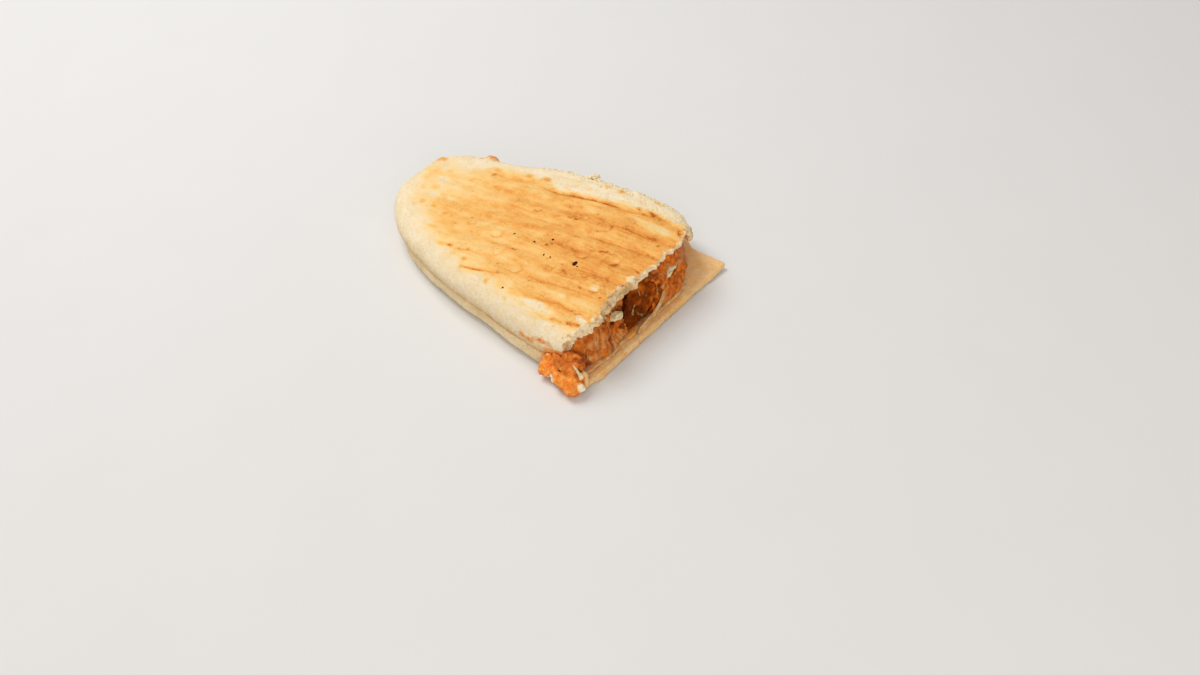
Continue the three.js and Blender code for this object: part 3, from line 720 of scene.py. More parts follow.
# Stains low on the near side, the orange edge of the round end and the bump beside it: x, y, z, radius, oil.
STAINS = (
    (98, -41.2, 10.4, 2.3, 0.9), (100.8, -41.2, 10.2, 2.1, 0.95), (106.8, -41, 12.6, 2.0, 0.9),
    (104, -41, 11.9, 1.7, 0.6), (109.6, -41, 9.6, 3.2, 0.85), (113.2, -41, 10.2, 3.6, 1.0),
    (3.6, 13, 15.4, 2.8, 0.6), (19.6, 25.2, 14, 4.2, 1.0), (93, -42, 8.6, 1.4, 0.4),
    (116.6, -40.4, 10.6, 3.4, 1.0), (118.4, -38.6, 8.6, 3.0, 1.0), (110.6, -41, 12.6, 1.8, 0.6),
)
# Patches of white crumb where the skin tore off at the torn end: x, y, radius.
TORN_PATCHES = (
    (118.6, -30.8, 2.5), (116.0, -30.4, 1.9), (120.4, -32.4, 2.7), (121.4, -35, 2.0), (120.6, 13.4, 1.9),
    (121, 4.6, 1.9), (119.4, -5.4, 2.3), (119.4, -10.6, 2.0), (119.8, -20, 1.4), (120.4, 0.2, 1.2),
    (119.8, -15.6, 1.3),
)
# Lumps and notches of the outline: x, y, z, radius, height.
LUMPS = (
    (19.6, 25.2, 14, 3.6, 1.7), (13.4, 22.4, 13, 3, -1.2), (28, 29, 14, 2.4, -0.6), (3.8, 13, 15, 3, 0.4),
    (42, 33.5, 15, 3, 0.5), (88, 37, 18, 3, 0.5), (54, 35, 15, 2.6, 0.6), (80, 38, 16, 2.4, 0.6),
    (99, 38, 17, 2.2, 0.5),
)
# Black and brown specks: x, y, radius.
SPECKS = (
    (96.8, -10.2, 0.95), (98.4, -10.9, 0.42), (66.5, -9.7, 0.5), (76.2, -9.2, 0.44), (80.9, -4.3, 0.52),
    (83.8, -12.6, 0.42), (86.6, -12.2, 0.4), (83, -33.8, 0.4), (118.9, -10.1, 0.42),
)
SPECK_IN_SAUCE = (118.4, 7.9, 0.5)  # x, z, radius


def from_line(p, x0, y0, x1, y1):
    """Distance from a straight stroke seen from above, and how far along it, 0 to 1."""
    start, run = np.array((x0, y0)), np.array((x1 - x0, y1 - y0))
    t = np.clip((p[:, :2] - start) @ run / (run @ run), 0, 1)
    return length(p[:, :2] - start - t[:, None] * run), t


def toast_on_top(p, seed):
    """How brown the pressed face is, from its outline, the ribs and the marks of the plate."""
    x, y, _ = p.T
    lane = rib_phase(x, y)
    along = along_ribs(p)
    ragged = 1.5 * rough(p, (9, 3.0, 8), seed) + 0.5 * rough(p, (2.4, 1.2, 3), seed + 1)
    near = y - np.interp(x, *np.transpose(TOASTED_NEAR)) + ragged
    far = np.interp(x, *np.transpose(TOASTED_FAR)) - y + 1.1 * ragged
    crisp = smooth(20, 60, x)
    inside = smooth(mix(-6, -2.5, crisp), mix(9, 5, crisp), near)
    inside = inside * smooth(mix(-4, -1.6, crisp), mix(3.5, 1.6, crisp), far)
    falloff = mix(0.45, 0.24, smooth(50, 95, x)) * np.where(y > 0, 0.6, 1)
    middle = np.interp(x, *np.transpose(BROWNING)) * (1 - falloff * np.clip(np.abs(y + 1) / 28, 0, 1.2) ** 2)
    band = pressed_band(lane, 0.97)
    patchy = 0.5 + 0.5 * np.clip(rough(p, (22, 5, 9), seed + 3) * 1.6 + 0.4, -1, 1)
    ribs = bite(x, y) * smooth(30, 90, x) * (band - 0.4) * 0.07 * patchy
    blotches = 0.1 * rough(p, (9, 5, 9), seed + 7) * (1.6 - smooth(20, 60, x))
    blotches += 0.08 * rough(p, (4, 2.4, 5), seed + 9)
    streaks = 0.07 * rough(along, (9, 1.4, 6), seed + 5) + 0.09 * rough(along, (22, 3.0, 9), seed + 11)
    toast = inside * (middle + ribs + blotches + streaks * smooth(4, 40, x))
    return toast - 0.55 * np.maximum(0, toast - 0.78)


def browned_lines(p):
    """The lines that the ribs' bottoms browned to: how much each point is on one, its toast and its depth."""
    on, level, depth = np.zeros(len(p)), np.zeros(len(p)), np.zeros(len(p))
    wandering = p + 0.35 * rough(p, 5, 81)[:, None]
    broken = np.clip(0.84 + 0.6 * rough(p, (10, 2.5, 7), 83), 0.4, 1.0)
    for line, half, brown, deep in CREASES:
        whole = sum(math.dist(a, b) for a, b in zip(line, line[1:]))
        near, reached, share = np.full(len(p), 99.0), np.zeros(len(p)), 0.0
        for a, b in zip(line, line[1:]):
            d, t = from_line(wandering, *a, *b)
            part = math.dist(a, b) / whole
            reached = np.where(d < near, share + t * part, reached)
            near, share = np.minimum(near, d), share + part
        taper = ends(reached, 0.12, 0.86)
        dark = fade(0.1, 1.0, near / half) * taper
        groove = fade(0.0, 1.3, near / (half + 0.4)) * taper
        soft = 0.35 * fade(0.4, 2.6, near / half) * taper
        here = np.maximum(dark * broken, soft)
        level = np.where(here > on, brown, level)
        on, depth = np.maximum(on, here), np.maximum(depth, deep * groove)
    return on, level, depth


def skin_of_upper_slice():
    """The upper slice: pressed and browned on top, torn at the cut, stained low at the near corner."""

    def by_an_edge(p, n):
        x, y, z = p.T
        far_rim = (y > half_width(x) - 5) & (x > 44) & (z > 11)
        return (x > TORN_LINE + torn(y) - 3) | far_rim

    mesh = skin("upper_slice", BREAD_FACE)
    ease(mesh, 10, lambda p, n: p[:, 0] > TORN_LINE + torn(p[:, 1]) - 1.5)
    refine(mesh, by_an_edge)
    p = points(mesh)
    at_end = smooth(-2.6, -0.2, p[:, 0] - TORN_LINE - torn(p[:, 1]))
    p[:, 0] += at_end * (0.8 * rough(p * (0, 1, 0.6), 2.6, 31) + 0.35 * rough(p, 0.9, 33))
    place(mesh, p)

    n = facing(mesh)
    x, y, z = p.T
    end = TORN_LINE + torn(y)
    upward = smooth(0.15, 0.75, n[:, 2])
    outside = np.maximum(smooth(0.0, 0.5, n[:, 2]), smooth(0.4, 0.8, np.hypot(n[:, 0], n[:, 1])))
    torn_face = smooth(0.3, 0.65, n[:, 0]) * smooth(-3.5, -1.5, x - end)
    under = smooth(0.2, 0.5, -n[:, 2]) * smooth(3.5, 5, half_width(x) - np.abs(y)) * smooth(6, 10, x)
    reach = x - end + 1.7 * rough(p, 2.8, 35) - 0.9 * smooth(0, 5, y)
    skinned = smooth(-1.4, -0.2, reach) * smooth(0.1, 0.5, n[:, 2])
    wobble = 0.45 * rough(p, 1.8, 37)
    for px, py, r in TORN_PATCHES:
        d = np.hypot(x - px, y - py) / r + wobble
        skinned = np.maximum(skinned, fade(0.6, 1.0, d) * upward)
    crumb = np.clip(torn_face + under + skinned, 0, 1)
    top = smooth(0.45, 0.8, n[:, 2]) * (1 - crumb)
    far_rim = smooth(half_width(x) - 9, half_width(x) - 4, y) * smooth(40, 62, x)
    far_rim = far_rim * np.clip(0.6 + 0.7 * rough(p, (6, 4, 4), 39), 0, 1)
    # Pits in the crumb, dented in and darkened with painted shade.
    pit = smooth(0.2, 0.7, grain(p, 1.5, 43)) + 0.5 * smooth(0.2, 0.6, grain(p, 0.7, 45))

    lane = rib_phase(x, y)
    band = pressed_band(lane)
    on_line, brown_line, deep = browned_lines(p)
    along = along_ribs(p)
    # Towards the cut the outer ribs turn a little: their straight grooves are filled and cut again there.
    straight = np.maximum(0, 1 - np.abs(lane - np.round(lane)) * RIB_PITCH / 1.5) * bite(x, y)
    height = top * 0.5 * straight * smooth(80, 92, x) * np.maximum(smooth(10, 12, y), smooth(-13, -15, y))
    height -= top * (bite(x, y) * 0.1 * band + deep + 0.1)
    height += top * (0.07 * rough(along, (9, 1.3, 6), 5) + 0.12 * rough(p, 9, 11, 2))
    height += top * (0.08 * rough(p, 2.4, 13) + 0.06 * np.abs(rough(p, 1.3, 15)))
    height += (1 - top) * outside * (0.16 * rough(p, 6, 21) + 0.08 * rough(p, 1.8, 23))
    ragged = np.maximum(far_rim, smooth(-2.5, -0.5, x - end)) * outside
    height += ragged * (0.4 * rough(p, 3.0, 31) + 0.16 * rough(p, 1.2, 32))
    height += crumb * (0.22 * rough(p, 2.0, 41) + 0.1 * rough(p, 0.8, 42) - 0.14 * pit)
    wobble = 0.2 * rough(p, 2, 49)
    for lx, ly, lz, r, out in LUMPS:
        height += out * fade(0.3, 1.0, length(p - (lx, ly, lz)) / r + wobble)

    toast = toast_on_top(p, 3)
    wobble = 0.3 * rough(p, (5, 1.6, 4), 51)
    for px, py, half_x, half_y, change in PATCHES:
        d = np.hypot((x - px) / half_x, (y - py) / half_y) + wobble
        toast += change * fade(0.4, 1.1, d)
    toast = mix(toast, np.maximum(toast, brown_line), on_line) * upward
    wobble = 0.16 * rough(p, 1.8, 55)
    for bx, by, r, out, paler in BLISTERS:
        d = np.hypot((x - bx) / 1.15, y - by) / r + wobble
        dome, rim = fade(0.6, 1.0, d), bump(d, 0.95, 0.28)
        # Painted light: a painted shadow on one side of each blister's rim and a painted highlight on the
        # other.
        shadowed_side = smooth(-0.6, 0.8, ((x - bx) * 0.6 - (y - by)) / r)
        height += top * out * (0.5 * dome + 0.7 * rim - 0.6 * bump(d, 1.25, 0.25))
        toast += top * (0.3 * rim * shadowed_side - paler * dome - 0.12 * rim * (1 - shadowed_side))
    wandering = p + 0.5 * grain(p, 2.0, 47)[:, None]
    for x0, y0, x1, y1, half, depth in CRACKS:
        d, _ = from_line(wandering, x0, y0, x1, y1)
        crack = bump(d, 0, half * 2)
        height -= top * depth * crack
        toast += top * (0.02 + 0.9 * depth) * crack
    wandering, patchy = p + 0.4 * rough(p, 3, 57)[:, None], 0.75 + 0.6 * rough(p, (4, 1.0, 4), 53)
    for x0, y0, x1, y1, half, strength in STREAKS:
        d, t = from_line(wandering, x0, y0, x1, y1)
        toast += (1 - crumb) * strength * ends(t, 0.2, 0.8) * bump(d, 0, half) * patchy
    stained = (x > 96) & (y < -30)  # the near corner
    oil = np.where(stained, 0.9 * smooth(0.8, 1.15, toast), 0)
    wobble = 0.35 * rough(p, 2.4, 59)
    for sx, sy, r, brown, stain in SPOTS:
        d = np.hypot(x - sx, (y - sy) * 1.2) / r + wobble
        mark = fade(0.2, 1.0, d) * smooth(-0.2, 0.2, n[:, 2])
        toast += brown * mark * (1 - crumb)
        oil = np.maximum(oil, stain * mark)
    wobble = 0.34 * rough(p, 1.6, 61)
    for sx, sy, sz, r, stain in STAINS:
        d = length((p - (sx, sy, sz)) * (0.8, 1, 1.2)) / r + wobble
        oil = np.maximum(oil, stain * fade(0.3, 1.1, d))
    sauced_below = mix(17.7, 18.9, smooth(2, 8, y)) + 0.7 * rough(p, 3, 65)
    sauce_line = torn_face * smooth(sauced_below, sauced_below - 1, z) * smooth(-26, -22, y) * fade(24, 31, y)
    oil = np.maximum(oil, sauce_line * (0.75 + 0.4 * rough(p, 2.5, 67)))
    oil = np.maximum(oil, under * smooth(95, 112, x) * 0.8)
    corner = torn_face * bump(y, -39.5, 3) * bump(z, 14.5, 4)
    # Painted shade: the near side darkens towards its lower edge, above the seam.
    near_side = smooth(0.2, 0.7, -n[:, 1]) * smooth(12, 26, x)
    low = 0.75 * smooth(12.6 - 1.6 * smooth(80, 100, x), 8.4, z) + 0.15 * smooth(15, 11, z)
    tan = near_side * low * (1 - crumb) * (0.85 + 0.4 * rough(p, 5, 63))
    swell(mesh, height)
    white = np.clip(0.8 * far_rim * upward * fade(0.45, 0.8, toast), 0, 1)
    # Painted shade: a stretch of the torn end is greyed and the crumb's pits are darkened; the near corner
    # turns brown where sauce soaked it.
    shaded = 0.25 + 0.5 * smooth(0.0, 0.6, rough(p, (3, 5, 3), 69))
    shaded = shaded * smooth(-30, -26, y) * smooth(-4, -8, y)
    pit = np.where(crumb > white, np.clip(0.15 + 0.6 * pit + shaded + 1.1 * corner, 0, 1.5), 0)
    paint(mesh, toast=toast, crumb=np.maximum(crumb, white), pit=pit, oil=oil, tan=tan)
    return finished("upper_slice_bread", mesh, TOASTED, "upper_slice")


def skin_of_lower_slice():
    """The lower slice. Its rim turns up to the upper slice's side, so that the seam is a soft fold."""
    mesh = skin("lower_slice", BREAD_FACE, relax=4)
    refine(mesh, lambda p, n: p[:, 0] > TORN_LINE)
    p, n = points(mesh), facing(mesh)
    x, y, z = p.T
    inward = y + half_width(x)
    lip = smooth(2.6, 1.2, inward) * smooth(3.4, 5.2, z + 2.0 * smooth(92, 108, x)) * smooth(10, 22, x)
    gap = mix(1.5, 2.4, smooth(94, 104, x)) + 2.6 * smooth(103, 117, x)
    p[:, 2] += lip * gap * (1 + 0.18 * rough(p * (1, 0, 0), 5, 3))
    p[:, 1] += lip * (0.5 + 0.7 * smooth(98, 116, x))
    far = smooth(2.6, 1.2, half_width(x) - y) * smooth(3.4, 5.2, z) * smooth(6, 16, x) * fade(98, 112, x)
    p[:, 2] += far * FAR_LIP * (1 + 0.2 * rough(p * (1, 0, 0), 5, 4))
    p[:, 1] -= far * 0.5
    ahead = np.maximum(0, 1 - (x - ROUND_END) / HALF_LENGTH)
    aside = np.abs(y) / HALF_WIDTH
    power = OUTLINE_POWER
    steep = power * np.hypot(ahead ** (power - 1) / HALF_LENGTH, aside ** (power - 1) / HALF_WIDTH)
    inward = (1 - ahead**power - aside**power) / np.maximum(steep, 1e-4)
    tip = smooth(2.8, 1.4, inward) * smooth(2.8, 4.6, z) * fade(14, 26, x)
    p[:, 2] += tip * TIP_LIP
    place(mesh, p)

    n = facing(mesh)
    x, y, z = p.T
    below = smooth(0.5, 0.85, -n[:, 2])
    inner = smooth(0.3, 0.7, n[:, 2]) * smooth(1.0, 2.6, half_width(x) - np.abs(y) + 2 * smooth(100, 120, x))
    cut_face = smooth(0.4, 0.7, n[:, 0]) * smooth(122, 125, x)
    crumb = np.clip(inner + cut_face, 0, 1)
    height = 0.14 * rough(p, 5, 5) * (1 - below) + 0.07 * rough(p, 1.6, 6) * (1 - below)
    height += crumb * 0.1 * rough(p, 2.2, 9) + cut_face * (0.2 * rough(p, 2.4, 13) + 0.08 * rough(p, 0.9, 14))
    height += below * bite(x, y) * 0.35 * pressed_band(rib_phase(x, y))
    swell(mesh, height * np.where(below > 0.5, -1, 1))
    # The rim's side is tinted a little toasted, which also stands as painted shade on it, and a little more
    # near its underside.
    side = (1 - below) * (1 - crumb)
    toast = toast_on_top(p, 71) * below + side * (0.06 + 0.1 * smooth(3.5, 1.5, z))
    # Painted shade: darker crumb in the pits, most in the middle of the cut face below the filling.
    pit = 0.1 + 0.25 * smooth(0.2, 0.7, rough(p, 2.4, 17)) + 0.25 * bump(y, 6, 14) * cut_face
    oil = crumb * smooth(20, 12, y) * smooth(100, 116, x) * (0.16 + 0.5 * rough(p, 3, 15))
    oil = np.maximum(oil, side * smooth(101, 112, x) * smooth(-36, -40, y) * (0.9 + 0.4 * rough(p, 2, 19)))
    # Painted shade on the rim's side, deepest on the lip that turns up to meet the upper slice.
    shade = 0.34 + 0.42 * smooth(5, 8, z) + 0.3 * rough(p, (7, 5, 3), 23)
    tan = np.maximum(side * shade, crumb * (0.8 + 0.2 * rough(p, 4, 21)))
    paint(mesh, toast=toast, crumb=crumb, pit=pit, oil=oil, tan=tan)
    return finished("lower_slice_bread", mesh, TOASTED, "lower_slice")


# Strands on the cut face of the chicken: three points y, z; half-width; how pale; how browned.
STRANDS = (
    (-29.3, 14.7, -30.4, 12.5, -29.6, 8.1, 0.85, 0.75, 0),
    (-25.4, 15.1, -27.2, 11.4, -28.7, 7.7, 1.0, 0.75, 0),
    (-27.2, 15.3, -28.6, 12.4, -29.3, 9.8, 0.5, 0.15, 0.15),
    (-24.3, 13.4, -26.8, 8.9, -29.7, 3.4, 0.7, 0.0, 0), (-24.9, 9.6, -21.9, 10.4, -21.1, 5.2, 0.6, 0.0, 0),
    (-23.6, 8.6, -23.3, 6, -24.8, 3.4, 0.9, 0.9, 0), (-26.6, 7.2, -27.0, 5.2, -28.0, 3.2, 0.6, 0.6, 0),
    (-20.2, 9.0, -18.9, 6.4, -17.3, 3.2, 0.6, 1.0, 0), (-19.4, 6.6, -19.8, 5.0, -20.6, 3.4, 0.6, 0.8, 0),
    (-15.3, 7.2, -15.6, 5.4, -16.2, 3.6, 0.45, 1.0, 0), (-31.6, 7.4, -31.7, 5.6, -32.7, 3.2, 0.7, 0.8, 0),
    (-33.2, 8.2, -33.2, 6.0, -34.4, 3.2, 0.5, 0.3, 0), (-34.5, 6.7, -34.9, 5.0, -35.8, 3.2, 0.5, 0.85, 0),
    (-36.2, 6.6, -36.4, 5.0, -37.4, 3.2, 0.45, 0.2, 0),
    (-35.1, 11.3, -33.0, 12.3, -31.5, 13.7, 1.0, 0.0, 0.35),
    (-33.4, 10.4, -31.8, 11.8, -30.9, 13.2, 0.55, 0.6, 0), (-12.8, 6.2, -13.0, 4.8, -12.0, 3.4, 0.5, 0.8, 0),
    (-22.0, 13.8, -23.0, 11.6, -25.4, 9.8, 0.7, 0.1, 0.3),
    (-18.6, 12.0, -16.2, 10.6, -14.2, 10.4, 0.8, 0.1, 0.3),
    (-31.0, 11.0, -32.4, 8.6, -32.6, 6.4, 0.5, 0.1, 0.2), (7.4, 12.6, 4.4, 8.6, -2, 6.4, 0.55, 0.8, 0),
    (9.4, 11.6, 6.6, 7.2, 0, 4.6, 0.6, 0.7, 0), (11, 10.2, 9, 6.4, 3, 4, 0.5, 0.6, 0),
    (8.4, 12.2, 5.6, 8, -1, 5.4, 0.3, 0.0, 0.3), (10.4, 11, 8, 6.8, 2, 4.2, 0.3, 0.0, 0.3),
)
# Spots on it: y, z, radius, how pale, how browned.
BLOTS = (
    (-39.2, 8.2, 2.4, 0, 1.0), (-17.6, 9.6, 1.2, 0, 0.9), (-20.6, 11.8, 1.9, 0, 0.45),
    (4.9, 12.6, 1.7, 0, 0.9), (5.0, 10.4, 1.4, 0, 0.7), (5.6, 15.4, 2.0, 0, 0.55), (-9.6, 16.4, 1.8, 0, 0.8),
    (-4, 17.6, 2.2, 0, 0.6), (17.8, 9.6, 1.5, 0, 0.4), (24.6, 8.6, 1.6, 0, 0.3), (10, 4.4, 2.4, 0, 0.2),
    (17.6, 13.6, 2.1, 0.75, 0.1), (14.4, 12.4, 1.2, 0.7, 0), (9.6, 13.6, 1.3, 0.75, 0),
    (8.6, 15.2, 1.4, 0.4, 0.25), (20.6, 14.2, 2.2, 0.5, 0.25), (23.6, 12.2, 1.8, 0.45, 0.2),
    (12.6, 15.2, 1.6, 0.5, 0.2), (-13.6, 4.4, 2.0, 0, 0.2), (-33.6, 9.2, 1.6, 0, 0.35),
    (-37, 7.4, 3.2, 0, 0.85), (3.4, 17, 2.2, 0, 0.75), (6.4, 13.6, 1.4, 0, 0.6), (-16.4, 9.4, 1.6, 0, 0.75),
    (-14, 13.8, 1.8, 0, 0.75), (1.6, 7, 1.5, 0, 0.35), (-9.6, 4.6, 1.4, 0, 0.4), (-31, 15.4, 2.2, 0, 0.3),
    (-24.6, 13.8, 1.8, 0, 0.4), (-19.8, 12.4, 1.8, 0, 0.7), (20, 8, 2.4, 0, 0.15),
)


def from_strand(yz, a, b, c):
    """Distance from a curve through three points, and how far along it, 0 to 1."""
    t = np.linspace(0, 1, 41)[:, None]
    path = np.array(a) * (1 - t) * (1 - 2 * t) + np.array(b) * 4 * t * (1 - t) + np.array(c) * t * (2 * t - 1)
    d = length(yz[:, None, :] - path[None])
    return d.min(axis=1), d.argmin(axis=1) / 40


def chicken_at_the_cut():
    """The filling, with its cut face torn into fibres that fan out downwards and smeared with sauce."""
    mesh = skin("chicken_filling", FILLING_FACE, relax=2)
    refine(mesh, lambda p, n: p[:, 0] > SHOWN_FROM + 1, 2)
    ease(mesh, 3, lambda p, n: p[:, 0] < SHOWN_FROM)
    p = points(mesh)
    x, y, z = p.T
    shown = smooth(SHOWN_FROM, SHOWN_FROM + 5, x)
    fan = fade(-19, -14, y)
    turn, reach = np.arctan2(y + 24, np.maximum(21 - z, 1)), np.hypot(y + 24, 21 - z)
    flow = np.stack((x, mix(z, turn * 12, fan), mix(y, reach, fan)), axis=1)
    grainy = smooth(5, 8, y)
    fibres = np.abs(rough(flow, (3, 0.9, 6), 5))
    height = (1 - grainy) * 0.34 * (0.3 - fibres) + 0.35 * rough(p, 3.4, 9) + grainy * 0.1 * rough(p, 1.6, 15)
    pale = 0.62 * smooth(0.0, 0.5, rough(flow, (4, 1.1, 8), 23)) * (1 - grainy)
    bare = fade(0.4, 1.2, np.hypot((y + 31.6) / 3.4, (z - 9) / 6.5) + 0.2 * rough(p, 3, 21))
    bare = np.maximum(bare, fade(0.4, 1.2, np.hypot((y + 20) / 6, (z - 5.4) / 3.6) + 0.2 * rough(p, 3, 22)))
    pale = np.clip(pale + 0.4 * bare, 0, 0.85)
    pale = np.maximum(pale, 0.85 * smooth(5.6, 3.8, z) * fade(8, 14, y))
    dark = (0.75 - 0.4 * grainy) * smooth(0.0, 0.6, rough(p, 3.0, 25)) * (1 - pale)
    yz, wobble = p[:, 1:], 0.3 * rough(p, 1.5, 27)
    for y0, z0, y1, z1, y2, z2, half, flesh, brown in STRANDS:
        d, t = from_strand(yz, (y0, z0), (y1, z1), (y2, z2))
        here = fade(0.2, 1.1, d / half + wobble) * ends(t, 0.15, 0.85)
        height += 0.24 * half * here
        pale, dark = mix(pale, 0.85 * flesh, 0.85 * here), mix(dark, brown, here)
    wobble = 0.35 * rough(p, 1.8, 29)
    for sy, sz, r, flesh, brown in BLOTS:
        here = fade(0.5, 1.0, np.hypot(y - sy, z - sz) / r + wobble)
        height += 0.2 * here * (1 if flesh else -1)
        pale, dark = mix(pale, flesh, here), mix(dark, brown, here)
    swell(mesh, shown * height)
    paint(mesh, pale=pale, dark=dark)
    return finished("chicken_mass", mesh, CHICKEN, "chicken_filling")


# Bundles of loose fibres on the cut face: y, z of their middle, spread in y and z, angle above +y in degrees
# and its spread, length, half-width, how pale, number.
BUNDLES = (
    (-34, 7.0, 3.0, 3.0, -120, 16, 5.0, 0.15, 0.5, 7),
    (-28, 8.5, 3.5, 4.0, -106, 16, 6.0, 0.16, 0.6, 9),
    (-22, 6.6, 3.0, 3.0, -88, 20, 4.6, 0.15, 0.7, 9),
    (-17, 5.6, 2.0, 2.0, -62, 22, 4.0, 0.14, 0.85, 9),
    (-10, 4.6, 6.0, 0.5, 3, 5, 8.0, 0.24, 0.8, 5),
    (17, 13.5, 4.0, 1.2, 20, 60, 2.5, 0.2, 0.4, 5),
)


def shreds(chicken):
    """Loose fibres of chicken that lie on the cut face."""
    rod = straight_strand()
    tree = surface_of(chicken.data)
    draw = np.random.default_rng(11)
    bm = bmesh.new()
    layer = bm.verts.layers.float.new("pale")
    dark = bm.verts.layers.float.new("dark")
    for y, z, dy, dz, angle, fan, long, half, pale, count in BUNDLES:
        for _ in range(count):
            yc, zc = y + draw.normal() * dy * 0.5, z + draw.normal() * dz * 0.5
            turn = math.radians(angle + draw.normal() * fan * 0.6)
            reach = long * (0.6 + 0.6 * draw.random()) / 2
            sag = draw.normal() * 0.4
            spots = [(yc - math.cos(turn) * reach, zc - math.sin(turn) * reach)]
            spots.append((yc - math.sin(turn) * sag, zc + math.cos(turn) * sag))
            spots.append((yc + math.cos(turn) * reach, zc + math.sin(turn) * reach))
            met = [at_the_cut(tree, a, b)[0] for a, b in spots]
            width, shade = half * (0.6 + 0.7 * draw.random()), pale + draw.normal() * 0.2
            if None in met or max(m.x for m in met) - min(m.x for m in met) > 3.5 * MM:
                continue
            shades = ((layer, shade), (dark, 0.0))
            shred(bm, rod, met, width, width * 0.6, Vector((1, 0, 0)), shades)
    return finished("chicken_shreds", mesh_of(bm), CHICKEN)


def cheese_layer():
    """The cheese melted over the lower slice, wrinkled and stained with sauce where it shows."""
    mesh = skin("melted_cheese", CHEESE_FACE, relax=2)
    refine(mesh, lambda p, n: p[:, 0] > 116)
    ease(mesh, 3)
    p = points(mesh)
    swell(mesh, smooth(114, 120, p[:, 0]) * (0.25 * rough(p, (6, 2.5, 2), 7) + 0.1))
    paint(mesh, oil=0.7 * smooth(0.1, 0.6, rough(p, 3, 19)) * smooth(SHOWN_FROM, SHOWN_FROM + 8, p[:, 0]))
    return finished("cheese_melt", mesh, CHEESE, "melted_cheese")


def small_piece(name, node, finish, voxel, relief, seed, layers=(), mould=None, thin=0.0):
    """A small node's shape, made even, moulded, thinned, and given relief in mm at the sizes of its lumps."""
    mesh = skin(node, voxel)
    if mould:
        place(mesh, mould(points(mesh)))
    p = points(mesh)
    swell(mesh, sum(depth * rough(p, size, seed + i) for i, (size, depth) in enumerate(relief)) - thin)
    paint(mesh, **{layer: field(points(mesh)) for layer, field in layers})
    return finished(name, mesh, finish, node)


def pieces_at_the_cut():
    """The pepper, the two bits of onion and the string of cheese at the near corner."""

    def warm(p):
        _, y, z = p.T
        lower_right = smooth(-9, 2, y) * smooth(12.5, 7, z)
        upper = smooth(-9, 0, y) * smooth(9, 14, z)
        spots = 0.3 * smooth(0.1, 0.6, rough(p, 3.2, 71))
        level = 0.14 + 0.26 * upper + 0.6 * lower_right + 0.45 * smooth(15.5, 17.5, z)
        return level + 0.4 * smooth(7, 4, z) + spots

    def wedge(p):
        _, y, z = p.T
        p[:, 2] = 14.2 + (z - 14.2) * mix(0.35, 1.1, smooth(-20.5, -15.5, y)) - 0.14 * (y + 17)
        return p

    def oily(p):
        return 0.3 * smooth(0.1, 0.5, rough(p, 2.0, 21))

    small_piece(
        "pepper_chunk", "roasted_pepper", PEPPER,
        voxel=0.32, relief=((3.2, 0.3), (1.2, 0.18)), seed=3, layers=(("warm", warm),),
    )
    small_piece(
        "onion_bit_1", "onion_piece_1", ONION,
        voxel=0.25, relief=((2.2, 0.4), (0.8, 0.2)), seed=5, mould=wedge,
    )
    small_piece(
        "onion_bit_2", "onion_piece_2", ONION,
        voxel=0.25, relief=((2.2, 0.5), (0.8, 0.2)), seed=8,
    )
    small_piece(
        "cheese_horn", "cheese_pull", PALE_CHEESE,
        voxel=0.2, relief=((1.6, 0.12),), seed=17, layers=(("oil", oily),), thin=0.2,
    )


def drawn_cheese():
    """The curved band of cheese, drawn into three strands side by side."""
    mesh = skin("cheese_ribbon", RIBBON_FACE)
    p = points(mesh)
    d, _ = from_strand(p[:, 1:], (-12, 4.4), (-0.6, 6.1), (6.6, 10))
    groove = bump(d + 0.1 * rough(p, 2, 5), 0.62, 0.3)
    swell(mesh, 0.1 * rough(p, 2.0, 13) - 0.4 * groove)
    paint(mesh, oil=0.55 * groove)
    return finished("cheese_sheet", mesh, CHEESE, "cheese_ribbon")


# Whitish bits in the sauce: x, y, z, radius.
WHITE_BITS = (
    (115.2, -46.2, 3.6, 1.9), (115.9, -45.6, 2.0, 1.6), (127.3, -44.4, 4.2, 2.0), (127.0, -43.6, 2.2, 1.8),
    (124.6, -41.5, 5.2, 1.2), (112.8, -45.4, 1.6, 1.0),
)


def sauce_at_the_corner():
    """The grainy sauce that came out at the near corner."""

    def whitish(p):
        return sum(fade(0.5, 1.0, length(p - b[:3]) / b[3]) for b in WHITE_BITS)

    def browned(p):
        # Darker high up where it meets the bread, on its side against the sandwich near the cut, in patches,
        # and towards its bottom.
        x, y, z = p.T
        high = 0.7 * smooth(6.4, 8.2, z) * smooth(111, 114, x)
        inner = 1.05 * smooth(-43, -41.4, y) * smooth(119, 122, x)
        crevices = 0.3 * smooth(0.15, 0.6, rough(p, 2.4, 28))
        over = np.minimum(high * (0.9 + 0.5 * rough(p, 2.2, 27)) + crevices, 0.68)
        return np.maximum(over, inner * (0.9 + 0.5 * rough(p, 2.2, 27))) + 0.5 * smooth(2.5, 0.8, z)

    def drawn_up(p):
        x, y, z = p.T
        p[:, 2] += (1.1 + 0.8 * smooth(121, 117, x)) * smooth(5.5, 8.5, z) * smooth(-46, -43, y)
        return p

    return small_piece(
        "sauce_lumps", "sauce_ooze", SAUCE_GRAINS,
        voxel=0.26, relief=((3.0, 0.4), (1.3, 0.4), (0.7, 0.26)), seed=29,
        layers=(("pale", whitish), ("dark", browned)), mould=drawn_up,
    )


